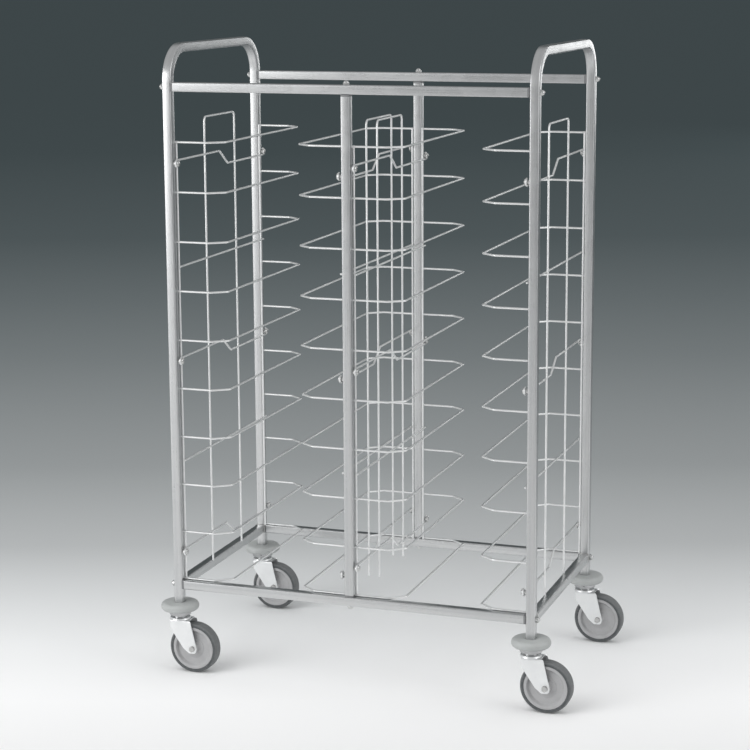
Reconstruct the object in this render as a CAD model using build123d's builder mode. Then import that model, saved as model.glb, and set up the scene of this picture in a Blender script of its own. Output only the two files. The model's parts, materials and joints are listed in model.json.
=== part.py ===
from build123d import *
from math import cos, pi, sin
import os

# Tray rack trolley: a square-tube frame on four swivel castors, with two bays
# of ten tray levels held by four identical welded wire racks.
# X runs along the width, Y from front to back, Z up. The floor is Z = 0 and
# the origin is under the middle of the space that the trolley takes up with
# its castors trailing to +X. All sizes are in millimetres.

# Frame
post_pitch_x = 900.0
post_pitch_y = 537.0
foot_height = 176.0
tube_size = 22.0
tube_wall = 1.5
tube_corner_radius = 3.0
handle_bend_radius = 80.0
bottom_rail_height = 222.0
top_clearance = 120.4
handle_rise = 101.0

# Round edges and tube corners are drawn in this many straight steps, and
# the round wires with this many flat sides, because they repeat so often
edge_steps = 2
wire_sides = 8

# Tube plugs, studs and cap nuts
plug_flange = 5.0
plug_depth = 25.0
plug_clearance = 0.15
stud_diameter = 8.0
stud_depth = 20.0
stud_clearance = 0.05
stud_hole_clearance = 0.25
cap_nut_width = 13.0
cap_nut_hex_height = 5.5
cap_nut_height = 10.5
cap_nut_wall = 2.0

# Wire racks
level_count = 10
level_pitch = 120.0
support_wire = 5.0
upright_wire = 5.0
support_reach = 120.0
support_corner_x = 36.0
support_corner_y = 27.0
weld_gap = 0.05
rest_gap = 0.1
face_gap = 0.1
inner_upright_pitch = 186.0
inner_upright_rise = 48.0
kinked_bar_gaps = (1, 5, 9)
straight_bar_gaps = (3, 7)
bar_rise = 17.3
kink_middle = 10.0
kink_run = 50.0
hook_sides = 4
bar_overhang = 5.0

# Rack screws
screw_diameter = 6.0
screw_length = 10.0
screw_hole_clearance = 0.1
shoulder_diameter = 10.0
shoulder_gap = 0.1
hook_clearance = 0.4
screw_head_diameter = 16.0
screw_head_height = 4.5
head_gap = 0.2

# Castors
wheel_diameter = 125.0
wheel_width = 32.0
castor_trail = 39.0
buffer_diameter = 94.0
buffer_height = 20.0
buffer_edge_radius = 9.0
expander_length = 40.0
expander_clearance = 0.15
stem_diameter = 12.0
stem_clearance = 0.08
race_diameter = 54.0
race_height = 18.0
race_gap = 0.2
lower_race_diameter = 49.0
lower_race_height = 3.8
crown_thickness = 2.5
rivet_head_diameter = 20.0
rivet_head_height = 4.0
fork_gap = 37.0
fork_sheet = 2.5
fork_bend_radius = 4.0
fork_lead = 19.0
fork_top_reach = 34.0
fork_foot_radius = 12.0
fork_brow = 22.0
axle_diameter = 8.0
axle_clearance = 0.1
axle_head_width = 13.0
axle_head_height = 5.3
axle_nut_height = 8.0
sleeve_diameter = 12.0
sleeve_end_gap = 0.05
hub_diameter = 27.0
hub_end_gap = 0.6
tread_thickness = 9.5
tyre_edge_radius = 6.0
tyre_clearance = 0.05
rim_depth = 8.0
rim_width = 30.0
web_thickness = 17.0

# Places worked out from the sizes above
centre_x = (buffer_diameter / 2 - castor_trail - wheel_diameter / 2) / 2
left_x = centre_x - post_pitch_x / 2
right_x = centre_x + post_pitch_x / 2
front_y = -post_pitch_y / 2
rear_y = post_pitch_y / 2
half_tube = tube_size / 2
tube_bore = tube_size - 2 * tube_wall
tube_bore_radius = tube_corner_radius - tube_wall
rail_top = bottom_rail_height + half_tube
lowest_level = rail_top + rest_gap + support_wire / 2
highest_level = lowest_level + (level_count - 1) * level_pitch
top_rail_underside = highest_level + top_clearance
top_rail_height = top_rail_underside + half_tube
frame_height = top_rail_height + handle_rise

os.makedirs("parts", exist_ok=True)


def save(piece, name):
    """Label one finished piece and write it to its own file."""
    piece.part.label = name
    export_step(piece.part, f"parts/{name}.step")


def level_height(level):
    """Height of a tray support wire's centre line; level 1 is the highest."""
    return highest_level - (level - 1) * level_pitch


def gap_height(gap):
    """Height halfway between a level and the one under it."""
    return level_height(gap) - level_pitch / 2


def round_edge(centre, reach, rise):
    """Points of a quarter round in short straight steps, from its side to its top."""
    points = []
    for n in range(edge_steps + 1):
        angle = n * pi / 2 / edge_steps
        points.append((centre[0] + reach * cos(angle), centre[1] + rise * sin(angle)))
    return points


def rounded_square(size, radius, mode=Mode.ADD):
    """Draw a square with stepped round corners in the open sketch."""
    corner = size / 2 - radius
    points = []
    for quarter in range(4):
        for x, y in round_edge((corner, corner), radius, radius):
            turned = complex(x, y) * 1j**quarter
            points.append((turned.real, turned.imag))
    Polygon(*points, align=None, mode=mode)


def tube_section():
    """Draw the hollow square section with rounded corners in the open sketch."""
    rounded_square(tube_size, tube_corner_radius)
    rounded_square(tube_bore, tube_bore_radius, mode=Mode.SUBTRACT)


def wire_section(diameter):
    """Draw a wire's section in the open sketch."""
    RegularPolygon(diameter / 2, wire_sides)


# Screws that hold the racks: one behind each hook of the kinked bars. On the
# side that a rack faces, the front hook hangs lower than the bar and the rear
# hook stands above it, so that back-to-back racks miss each other's screws.
hook_radius = shoulder_diameter / 2 + hook_clearance + upright_wire / 2
screw_rise = bar_rise - hook_radius
screw_hole_radius = screw_diameter / 2 + screw_hole_clearance
stud_hole_radius = stud_diameter / 2 + stud_hole_clearance


def rack_screw_points(facing):
    """Return (y, z) of the screws of a rack that faces +X (1) or -X (-1)."""
    points = []
    for gap in kinked_bar_gaps:
        points.append((facing * front_y, gap_height(gap) + screw_rise))
        points.append((facing * rear_y, gap_height(gap) - screw_rise))
    return points


# End tubes: each leg, bend and handle is one bent tube. Holes for the rail
# studs go through both walls, holes for the rack screws through the inner one.
def make_end_tube(name, tube_x, facing):
    bend_y = rear_y - handle_bend_radius
    bend_z = frame_height - half_tube - handle_bend_radius
    with BuildPart() as end_tube:
        with BuildSketch(Plane.XY.offset(foot_height)):
            with Locations((tube_x, front_y), (tube_x, rear_y)):
                tube_section()
        extrude(amount=bend_z - foot_height)
        for bend_side in (-1, 1):
            with BuildSketch(Plane.XY.offset(bend_z)):
                with Locations((tube_x, bend_side * rear_y)):
                    tube_section()
            bend_axis = Axis((tube_x, bend_side * bend_y, bend_z), (bend_side, 0, 0))
            revolve(axis=bend_axis, revolution_arc=90)
        with BuildSketch(Plane((tube_x, -bend_y, frame_height - half_tube), z_dir=(0, 1, 0))):
            tube_section()
        extrude(amount=2 * bend_y)
        with BuildSketch(Plane.YZ.offset(tube_x - tube_size)):
            with Locations((0, (top_rail_height + bottom_rail_height) / 2)):
                with GridLocations(post_pitch_y, top_rail_height - bottom_rail_height, 2, 2):
                    Circle(stud_hole_radius)
        extrude(amount=2 * tube_size, mode=Mode.SUBTRACT)
        with BuildSketch(Plane.YZ.offset(tube_x + facing * (half_tube - tube_wall * 1.5))):
            with Locations(*rack_screw_points(facing)):
                Circle(screw_hole_radius)
        extrude(amount=facing * tube_wall * 2, mode=Mode.SUBTRACT)
    save(end_tube, name)


make_end_tube("end_tube_left", left_x, 1)
make_end_tube("end_tube_right", right_x, -1)

# Side rails: welded between the two legs of each end tube
side_rail_length = post_pitch_y - tube_size
for side, rail_x in (("left", left_x), ("right", right_x)):
    with BuildPart() as side_rail:
        with BuildSketch(Plane((rail_x, -side_rail_length / 2, bottom_rail_height), z_dir=(0, 1, 0))):
            tube_section()
        extrude(amount=side_rail_length)
    save(side_rail, f"side_rail_{side}")

# Long rails: tube between the plug flanges, with a hole up through the middle
# for the stud of the middle post
long_rail_length = post_pitch_x - tube_size - 2 * plug_flange
for level_name, rail_z in (("top", top_rail_height), ("bottom", bottom_rail_height)):
    for end_name, rail_y in (("front", front_y), ("rear", rear_y)):
        with BuildPart() as long_rail:
            with BuildSketch(Plane((centre_x - long_rail_length / 2, rail_y, rail_z), z_dir=(1, 0, 0))):
                tube_section()
            extrude(amount=long_rail_length)
            with BuildSketch(Plane((centre_x, rail_y, rail_z - tube_size))):
                Circle(stud_hole_radius)
            extrude(amount=2 * tube_size, mode=Mode.SUBTRACT)
        save(long_rail, f"{level_name}_rail_{end_name}")

# Middle posts: tube between the plug flanges under the top rail and on the
# bottom rail, with rack screw holes in both side walls
middle_post_foot = rail_top + plug_flange
middle_post_length = top_rail_underside - plug_flange - middle_post_foot
for end_name, post_y in (("front", front_y), ("rear", rear_y)):
    with BuildPart() as middle_post:
        with BuildSketch(Plane((centre_x, post_y, middle_post_foot))):
            tube_section()
        extrude(amount=middle_post_length)
        for facing in (1, -1):
            wall_x = centre_x + facing * (half_tube - tube_wall * 1.5)
            heights = [z for y, z in rack_screw_points(facing) if y == post_y]
            with BuildSketch(Plane.YZ.offset(wall_x)):
                with Locations(*[(post_y, z) for z in heights]):
                    Circle(screw_hole_radius)
            extrude(amount=facing * tube_wall * 2, mode=Mode.SUBTRACT)
    save(middle_post, f"middle_post_{end_name}")

# Tube joints: every joint has a plug, a stud and a cap nut on one axis. Each
# is placed by the outer face of the plug's flange, with +Z pointing out of
# the tube that the plug closes.
joints = []
for rail_z in (top_rail_height, bottom_rail_height):
    for rail_y in (front_y, rear_y):
        joints.append(Plane((left_x + half_tube, rail_y, rail_z), z_dir=(-1, 0, 0)))
        joints.append(Plane((right_x - half_tube, rail_y, rail_z), z_dir=(1, 0, 0)))
for post_y in (front_y, rear_y):
    joints.append(Plane((centre_x, post_y, top_rail_underside), z_dir=(0, 0, 1)))
    joints.append(Plane((centre_x, post_y, rail_top), z_dir=(0, 0, -1)))

plug_size = tube_bore - 2 * plug_clearance
stud_bore_radius = stud_diameter / 2 + stud_clearance

with BuildPart() as plug_pattern:
    with BuildSketch(Plane.XY.offset(-plug_flange)):
        rounded_square(tube_size, tube_corner_radius)
    extrude(amount=plug_flange)
    with BuildSketch(Plane.XY.offset(-plug_flange - plug_depth)):
        Rectangle(plug_size, plug_size)
        chamfer(vertices(), tube_bore_radius)
    extrude(amount=plug_depth)
    with BuildSketch(Plane.XY.offset(-plug_flange - stud_depth - stud_clearance)):
        Circle(stud_bore_radius)
    extrude(amount=plug_flange + stud_depth + 2 * stud_clearance, mode=Mode.SUBTRACT)

nut_bore_depth = cap_nut_height - cap_nut_wall
stud_reach = tube_size + nut_bore_depth - stud_clearance
with BuildPart() as stud_pattern:
    with BuildSketch(Plane.XY.offset(-plug_flange - stud_depth)):
        Circle(stud_diameter / 2)
    extrude(amount=plug_flange + stud_depth + stud_reach)

dome_edge = cap_nut_width / 2 - 0.3
dome_start = tube_size + cap_nut_hex_height
with BuildPart() as cap_nut_pattern:
    with BuildSketch(Plane.XY.offset(tube_size)):
        RegularPolygon(cap_nut_width / 2, 6, major_radius=False)
        Circle(stud_bore_radius, mode=Mode.SUBTRACT)
    extrude(amount=cap_nut_hex_height)
    with BuildSketch(Plane.XZ):
        with BuildLine():
            Polyline(
                (0, tube_size + nut_bore_depth),
                (stud_bore_radius, tube_size + nut_bore_depth),
                (stud_bore_radius, dome_start),
                *round_edge((0, dome_start), dome_edge, cap_nut_height - cap_nut_hex_height),
                close=True,
            )
        make_face()
    revolve(axis=Axis.Z)


def save_at_joints(pattern, name):
    """Repeat one pattern piece at every tube joint and write the group."""
    with BuildPart() as group:
        with Locations(*[joint.location for joint in joints]):
            add(pattern.part)
    save(group, name)


save_at_joints(plug_pattern, "tube_plugs")
save_at_joints(stud_pattern, "frame_studs")
save_at_joints(cap_nut_pattern, "frame_cap_nuts")

# Wire racks, drawn facing +X with the tube face that they stand on at X = 0.
# The uprights lie against the tube face, the bars are welded across them on
# the bay side, and the tray supports are welded to the outer uprights.
upright_x = upright_wire / 2 + face_gap
bar_x = upright_x + upright_wire + weld_gap
outer_upright_y = rear_y - screw_head_diameter / 2 - head_gap - upright_wire / 2
support_leg_y = outer_upright_y + (upright_wire + support_wire) / 2 + weld_gap
upright_foot = rail_top + 2 * rest_gap
inner_upright_top = highest_level + inner_upright_rise


with BuildPart() as support_pattern:
    front_corner_y = support_leg_y - support_corner_y
    with BuildLine():
        Polyline(
            (face_gap, -support_leg_y),
            (support_reach - support_corner_x, -support_leg_y),
            (support_reach, -front_corner_y),
            (support_reach, front_corner_y),
            (support_reach - support_corner_x, support_leg_y),
            (face_gap, support_leg_y),
        )
    with BuildSketch(Plane((face_gap, -support_leg_y, 0), z_dir=(1, 0, 0))):
        wire_section(support_wire)
    sweep(transition=Transition.RIGHT)

with BuildPart() as outer_upright_pattern:
    with BuildSketch(Plane.XY.offset(upright_foot)):
        with Locations((upright_x, -outer_upright_y), (upright_x, outer_upright_y)):
            wire_section(upright_wire)
    extrude(amount=highest_level + support_wire / 2 - upright_foot)

with BuildPart() as inner_upright_pattern:
    half_pitch = inner_upright_pitch / 2
    with BuildLine(Plane.YZ.offset(upright_x)):
        Polyline(
            (-half_pitch, upright_foot),
            (-half_pitch, inner_upright_top),
            (half_pitch, inner_upright_top),
            (half_pitch, upright_foot),
        )
    with BuildSketch(Plane((upright_x, -half_pitch, upright_foot))):
        wire_section(upright_wire)
    sweep(transition=Transition.RIGHT)

# Kinked bar: high at the front, low at the rear, each end turned round its
# screw. Height 0 is halfway between two levels.
def hook_points(centre_y, centre_z, outward, upward):
    """Corners of a hook from its tip round its outer side.

    outward is -1 at the front and 1 at the rear; upward is 1 for a hook that
    ends under its screw and -1 for one that ends above it.
    """
    step = pi / hook_sides
    corner_radius = hook_radius / cos(step / 2)
    points = [(centre_y, centre_z - upward * hook_radius)]
    for n in range(hook_sides):
        angle = (n + 0.5) * step
        corner_y = centre_y + outward * corner_radius * sin(angle)
        corner_z = centre_z - upward * corner_radius * cos(angle)
        points.append((corner_y, corner_z))
    return points


with BuildPart() as kinked_bar_pattern:
    with BuildLine(Plane.YZ.offset(bar_x)):
        Polyline(
            *hook_points(front_y, screw_rise, -1, 1),
            (kink_middle - kink_run / 2, bar_rise),
            (kink_middle + kink_run / 2, -bar_rise),
            *reversed(hook_points(rear_y, -screw_rise, 1, -1)),
        )
    with BuildSketch(Plane((bar_x, front_y, screw_rise - hook_radius), z_dir=(0, -1, 0))):
        wire_section(upright_wire)
    sweep(transition=Transition.RIGHT)

with BuildPart() as straight_bar_pattern:
    straight_bar_length = 2 * (outer_upright_y + bar_overhang)
    with BuildSketch(Plane((bar_x, -straight_bar_length / 2, 0), z_dir=(0, 1, 0))):
        wire_section(upright_wire)
    extrude(amount=straight_bar_length)

# Rack screw, drawn along +X with the tube face at X = 0: threaded shank in
# the wall, shoulder that the hook hangs on, and domed head
head_start = bar_x + upright_wire / 2 + shoulder_gap
with BuildPart() as screw_pattern:
    with BuildSketch(Plane.XZ):
        with BuildLine():
            Polyline(
                (-screw_length, 0),
                (-screw_length, screw_diameter / 2),
                (shoulder_gap, screw_diameter / 2),
                (shoulder_gap, shoulder_diameter / 2),
                (head_start, shoulder_diameter / 2),
                *reversed(round_edge((head_start, 0), screw_head_height, screw_head_diameter / 2)),
                close=True,
            )
        make_face()
    revolve(axis=Axis.X)

# The four racks: name, X of the tube face, and which way they face
racks = (
    ("rack_left", left_x + half_tube, 1),
    ("rack_centre_left", centre_x - half_tube, -1),
    ("rack_centre_right", centre_x + half_tube, 1),
    ("rack_right", right_x - half_tube, -1),
)


def rack_place(face_x, facing, z=0.0):
    """Location of a rack piece; a rack that faces -X is turned half round."""
    return Location((face_x, 0, z), (0, 0, 0 if facing == 1 else 180))


for rack_name, face_x, facing in racks:
    with BuildPart() as tray_supports:
        with Locations(*[rack_place(face_x, facing, level_height(n + 1)) for n in range(level_count)]):
            add(support_pattern.part)
    save(tray_supports, f"{rack_name}_tray_supports")

    with BuildPart() as uprights:
        with Locations(rack_place(face_x, facing)):
            add(outer_upright_pattern.part)
            add(inner_upright_pattern.part)
    save(uprights, f"{rack_name}_uprights")

    with BuildPart() as bars:
        with Locations(*[rack_place(face_x, facing, gap_height(gap)) for gap in kinked_bar_gaps]):
            add(kinked_bar_pattern.part)
        with Locations(*[rack_place(face_x, facing, gap_height(gap)) for gap in straight_bar_gaps]):
            add(straight_bar_pattern.part)
    save(bars, f"{rack_name}_bars")

with BuildPart() as rack_screws:
    for rack_name, face_x, facing in racks:
        turn = 0 if facing == 1 else 180
        places = [Location((face_x, y, z), (0, 0, turn)) for y, z in rack_screw_points(facing)]
        with Locations(*places):
            add(screw_pattern.part)
save(rack_screws, "rack_screws")

# Castors, drawn with the swivel axis on the Z axis and trailing to +X
buffer_bottom = foot_height - buffer_height
race_bottom = buffer_bottom - race_height
lower_race_top = race_bottom - race_gap
crown_top = lower_race_top - lower_race_height
crown_underside = crown_top - crown_thickness
rivet_top = crown_underside - race_gap
axle_height = wheel_diameter / 2
fork_half_width = fork_gap / 2 + fork_sheet
core_radius = wheel_diameter / 2 - tread_thickness
stem_radius = stem_diameter / 2
sleeve_radius = sleeve_diameter / 2
hub_half_width = fork_gap / 2 - hub_end_gap
axle_plane = Plane((castor_trail, 0, axle_height), x_dir=(1, 0, 0), z_dir=(0, -1, 0))

expander_size = tube_bore - 2 * expander_clearance
with BuildPart() as expander_pattern:
    with BuildSketch(Plane.XY.offset(foot_height)):
        rounded_square(expander_size, tube_bore_radius - expander_clearance)
        Circle(stem_radius + stem_clearance, mode=Mode.SUBTRACT)
    extrude(amount=expander_length)

with BuildPart() as buffer_pattern:
    edge_centre = (buffer_diameter / 2 - buffer_edge_radius, buffer_height / 2 - buffer_edge_radius)
    buffer_middle = buffer_bottom + buffer_height / 2
    with BuildSketch(Plane((0, 0, buffer_middle), x_dir=(1, 0, 0), z_dir=(0, -1, 0))):
        with BuildLine():
            Polyline(
                (stem_radius + stem_clearance, 0),
                (buffer_diameter / 2, 0),
                *round_edge(edge_centre, buffer_edge_radius, buffer_edge_radius),
                (stem_radius + stem_clearance, buffer_height / 2),
                close=True,
            )
        make_face()
        mirror(about=Plane.XZ)
    revolve(axis=Axis.Z)

# Stem: pin into the expander, upper race under the buffer, and the king pin
# that the fork turns on, riveted over under the crown
with BuildPart() as stem_pattern:
    with BuildSketch(Plane.XZ):
        with BuildLine():
            Polyline(
                (0, foot_height + expander_length),
                (stem_radius, foot_height + expander_length),
                (stem_radius, buffer_bottom),
                (race_diameter / 2, buffer_bottom),
                (race_diameter / 2, race_bottom + 2.0),
                (race_diameter / 2 - 2.0, race_bottom),
                (stem_radius, race_bottom),
                (stem_radius, rivet_top),
                (rivet_head_diameter / 2, rivet_top),
                (rivet_head_diameter / 2 - 1.5, rivet_top - rivet_head_height),
                (0, rivet_top - rivet_head_height),
                close=True,
            )
        make_face()
    revolve(axis=Axis.Z)

# Fork: crown and two tapering legs pressed from one sheet
with BuildPart() as fork_pattern:
    with BuildSketch(Plane.XZ):
        with BuildLine():
            Polyline(
                (-fork_lead, crown_top),
                (fork_top_reach, crown_top),
                (castor_trail + fork_foot_radius, axle_height),
                (castor_trail + fork_foot_radius, axle_height - fork_foot_radius),
                (castor_trail - fork_foot_radius, axle_height - fork_foot_radius),
                (castor_trail - 2 * fork_foot_radius, axle_height),
                (-fork_lead, crown_top - fork_brow),
                close=True,
            )
        make_face()
        fillet(vertices().group_by(Axis.Y)[0], fork_foot_radius * 0.8)
    extrude(amount=fork_half_width, both=True)
    with BuildSketch(Plane.YZ.offset(-wheel_diameter)):
        with Locations((0, crown_underside / 2)):
            Rectangle(fork_gap, crown_underside)
    extrude(amount=2 * wheel_diameter, mode=Mode.SUBTRACT)
    crown_edges = fork_pattern.edges().filter_by(Axis.X).group_by(Axis.Z)[-1]
    fillet(crown_edges, fork_bend_radius)
    with BuildSketch(Plane.XY.offset(crown_top)):
        Circle(lower_race_diameter / 2)
    extrude(amount=lower_race_height)
    with BuildSketch(Plane.XY.offset(crown_underside)):
        Circle(stem_radius + stem_clearance)
    extrude(amount=2 * crown_thickness + lower_race_height, mode=Mode.SUBTRACT)
    with BuildSketch(axle_plane.offset(-fork_half_width)):
        Circle(axle_diameter / 2 + axle_clearance)
    extrude(amount=2 * fork_half_width, mode=Mode.SUBTRACT)

with BuildPart() as axle_bolt_pattern:
    with BuildSketch(axle_plane.offset(fork_half_width)):
        RegularPolygon(axle_head_width / 2, 6, major_radius=False)
    extrude(amount=axle_head_height)
    with BuildSketch(axle_plane.offset(fork_half_width)):
        Circle(axle_diameter / 2)
    extrude(amount=-2 * fork_half_width - axle_nut_height - 1.0)

with BuildPart() as axle_nut_pattern:
    with BuildSketch(axle_plane.offset(-fork_half_width)):
        RegularPolygon(axle_head_width / 2, 6, major_radius=False)
        Circle(axle_diameter / 2 + stud_clearance, mode=Mode.SUBTRACT)
    extrude(amount=-axle_nut_height)

with BuildPart() as axle_sleeve_pattern:
    with BuildSketch(axle_plane.offset(-fork_gap / 2 + sleeve_end_gap)):
        Circle(sleeve_radius)
        Circle(axle_diameter / 2 + axle_clearance, mode=Mode.SUBTRACT)
    extrude(amount=fork_gap - 2 * sleeve_end_gap)

# Wheel section, drawn with the radius along X and the axle along Y
with BuildPart() as wheel_core_pattern:
    with BuildSketch():
        with BuildLine():
            Polyline(
                (sleeve_radius + stem_clearance, hub_half_width),
                (hub_diameter / 2, hub_half_width),
                (hub_diameter / 2 + 2.0, web_thickness / 2),
                (core_radius - rim_depth - 2.0, web_thickness / 2),
                (core_radius - rim_depth, rim_width / 2),
                (core_radius, rim_width / 2),
                (core_radius, 0),
                (sleeve_radius + stem_clearance, 0),
                close=True,
            )
        make_face()
        mirror(about=Plane.XZ)
    revolve(axis=Axis.Y)

with BuildPart() as tyre_pattern:
    with BuildSketch():
        with BuildLine():
            Polyline(
                (core_radius + tyre_clearance, 0),
                (wheel_diameter / 2, 0),
                *round_edge(
                    (wheel_diameter / 2 - tyre_edge_radius, wheel_width / 2 - tyre_edge_radius),
                    tyre_edge_radius,
                    tyre_edge_radius,
                ),
                (core_radius + tyre_clearance, wheel_width / 2),
                close=True,
            )
        make_face()
        mirror(about=Plane.XZ)
    revolve(axis=Axis.Y)

castor_pieces = (
    ("fork", fork_pattern, (0, 0, 0)),
    ("axle_bolt", axle_bolt_pattern, (0, 0, 0)),
    ("axle_nut", axle_nut_pattern, (0, 0, 0)),
    ("axle_sleeve", axle_sleeve_pattern, (0, 0, 0)),
    ("wheel_core", wheel_core_pattern, (castor_trail, 0, axle_height)),
    ("tyre", tyre_pattern, (castor_trail, 0, axle_height)),
)
corners = (
    ("front_left", left_x, front_y),
    ("front_right", right_x, front_y),
    ("rear_left", left_x, rear_y),
    ("rear_right", right_x, rear_y),
)
for corner_name, corner_x, corner_y in corners:
    for piece_name, pattern, offset in castor_pieces:
        with BuildPart() as castor_piece:
            with Locations((corner_x + offset[0], corner_y + offset[1], offset[2])):
                add(pattern.part)
        save(castor_piece, f"{piece_name}_{corner_name}")

# The castor pieces that stay with the frame: one group for each kind
for piece_name, pattern in (
    ("tube_expanders", expander_pattern),
    ("castor_buffers", buffer_pattern),
    ("castor_stems", stem_pattern),
):
    with BuildPart() as group:
        with Locations(*[(corner_x, corner_y, 0) for corner_name, corner_x, corner_y in corners]):
            add(pattern.part)
    save(group, piece_name)
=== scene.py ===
import json
import logging
import math
from collections.abc import Iterable, Sequence
from dataclasses import dataclass, field
from enum import Enum

import bmesh
import bpy
from mathutils import Matrix, Vector


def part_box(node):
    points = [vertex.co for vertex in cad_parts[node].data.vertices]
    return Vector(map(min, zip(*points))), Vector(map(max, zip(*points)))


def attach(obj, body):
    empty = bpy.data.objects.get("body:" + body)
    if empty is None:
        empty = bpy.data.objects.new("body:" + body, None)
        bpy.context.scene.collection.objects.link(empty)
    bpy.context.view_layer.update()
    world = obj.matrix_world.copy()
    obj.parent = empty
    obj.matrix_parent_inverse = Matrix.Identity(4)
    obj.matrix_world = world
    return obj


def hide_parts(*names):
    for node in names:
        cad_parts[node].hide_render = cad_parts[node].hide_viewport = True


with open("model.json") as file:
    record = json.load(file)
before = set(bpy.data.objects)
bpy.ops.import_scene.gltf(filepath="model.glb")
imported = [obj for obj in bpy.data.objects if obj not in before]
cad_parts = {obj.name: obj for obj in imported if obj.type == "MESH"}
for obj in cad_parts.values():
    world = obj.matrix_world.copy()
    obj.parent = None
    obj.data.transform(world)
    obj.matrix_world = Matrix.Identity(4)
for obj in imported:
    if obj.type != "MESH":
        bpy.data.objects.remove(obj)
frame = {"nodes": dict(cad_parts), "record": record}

# Visual model of a tray rack trolley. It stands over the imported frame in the
# same metres and axes: X along the width, Y from front to back, Z up.

log = logging.getLogger("tray_rack_trolley")

MM = 0.001
# Edges sharper than this many degrees stay sharp where a piece sets nothing else
CREASE = 32.0
# Lengths below this many metres count as nothing
TINY = 1e-7

Point2 = tuple[float, float]
Point3 = tuple[float, float, float]
Corner2 = tuple[float, float, float]
Colour = tuple[float, float, float]


class Facing(Enum):
    """Which way a rack's tray wires point from the post that it hangs on."""

    RIGHT = 1
    LEFT = -1


class Slot(Enum):
    """Material slots of the record that the pieces take their finish from."""

    TUBE = "stainless_tube"
    WIRE = "stainless_wire"
    RACK_SCREW = "rack_screw_steel"
    FASTENER = "fastener_steel"
    PLUG = "plug_plastic"
    EXPANDER = "expander_rubber"
    CASTOR = "castor_steel"
    AXLE = "axle_steel"
    BUFFER = "buffer_plastic"
    WHEEL_CORE = "wheel_core_plastic"
    TYRE = "tyre_rubber"


# Finishes


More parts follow.
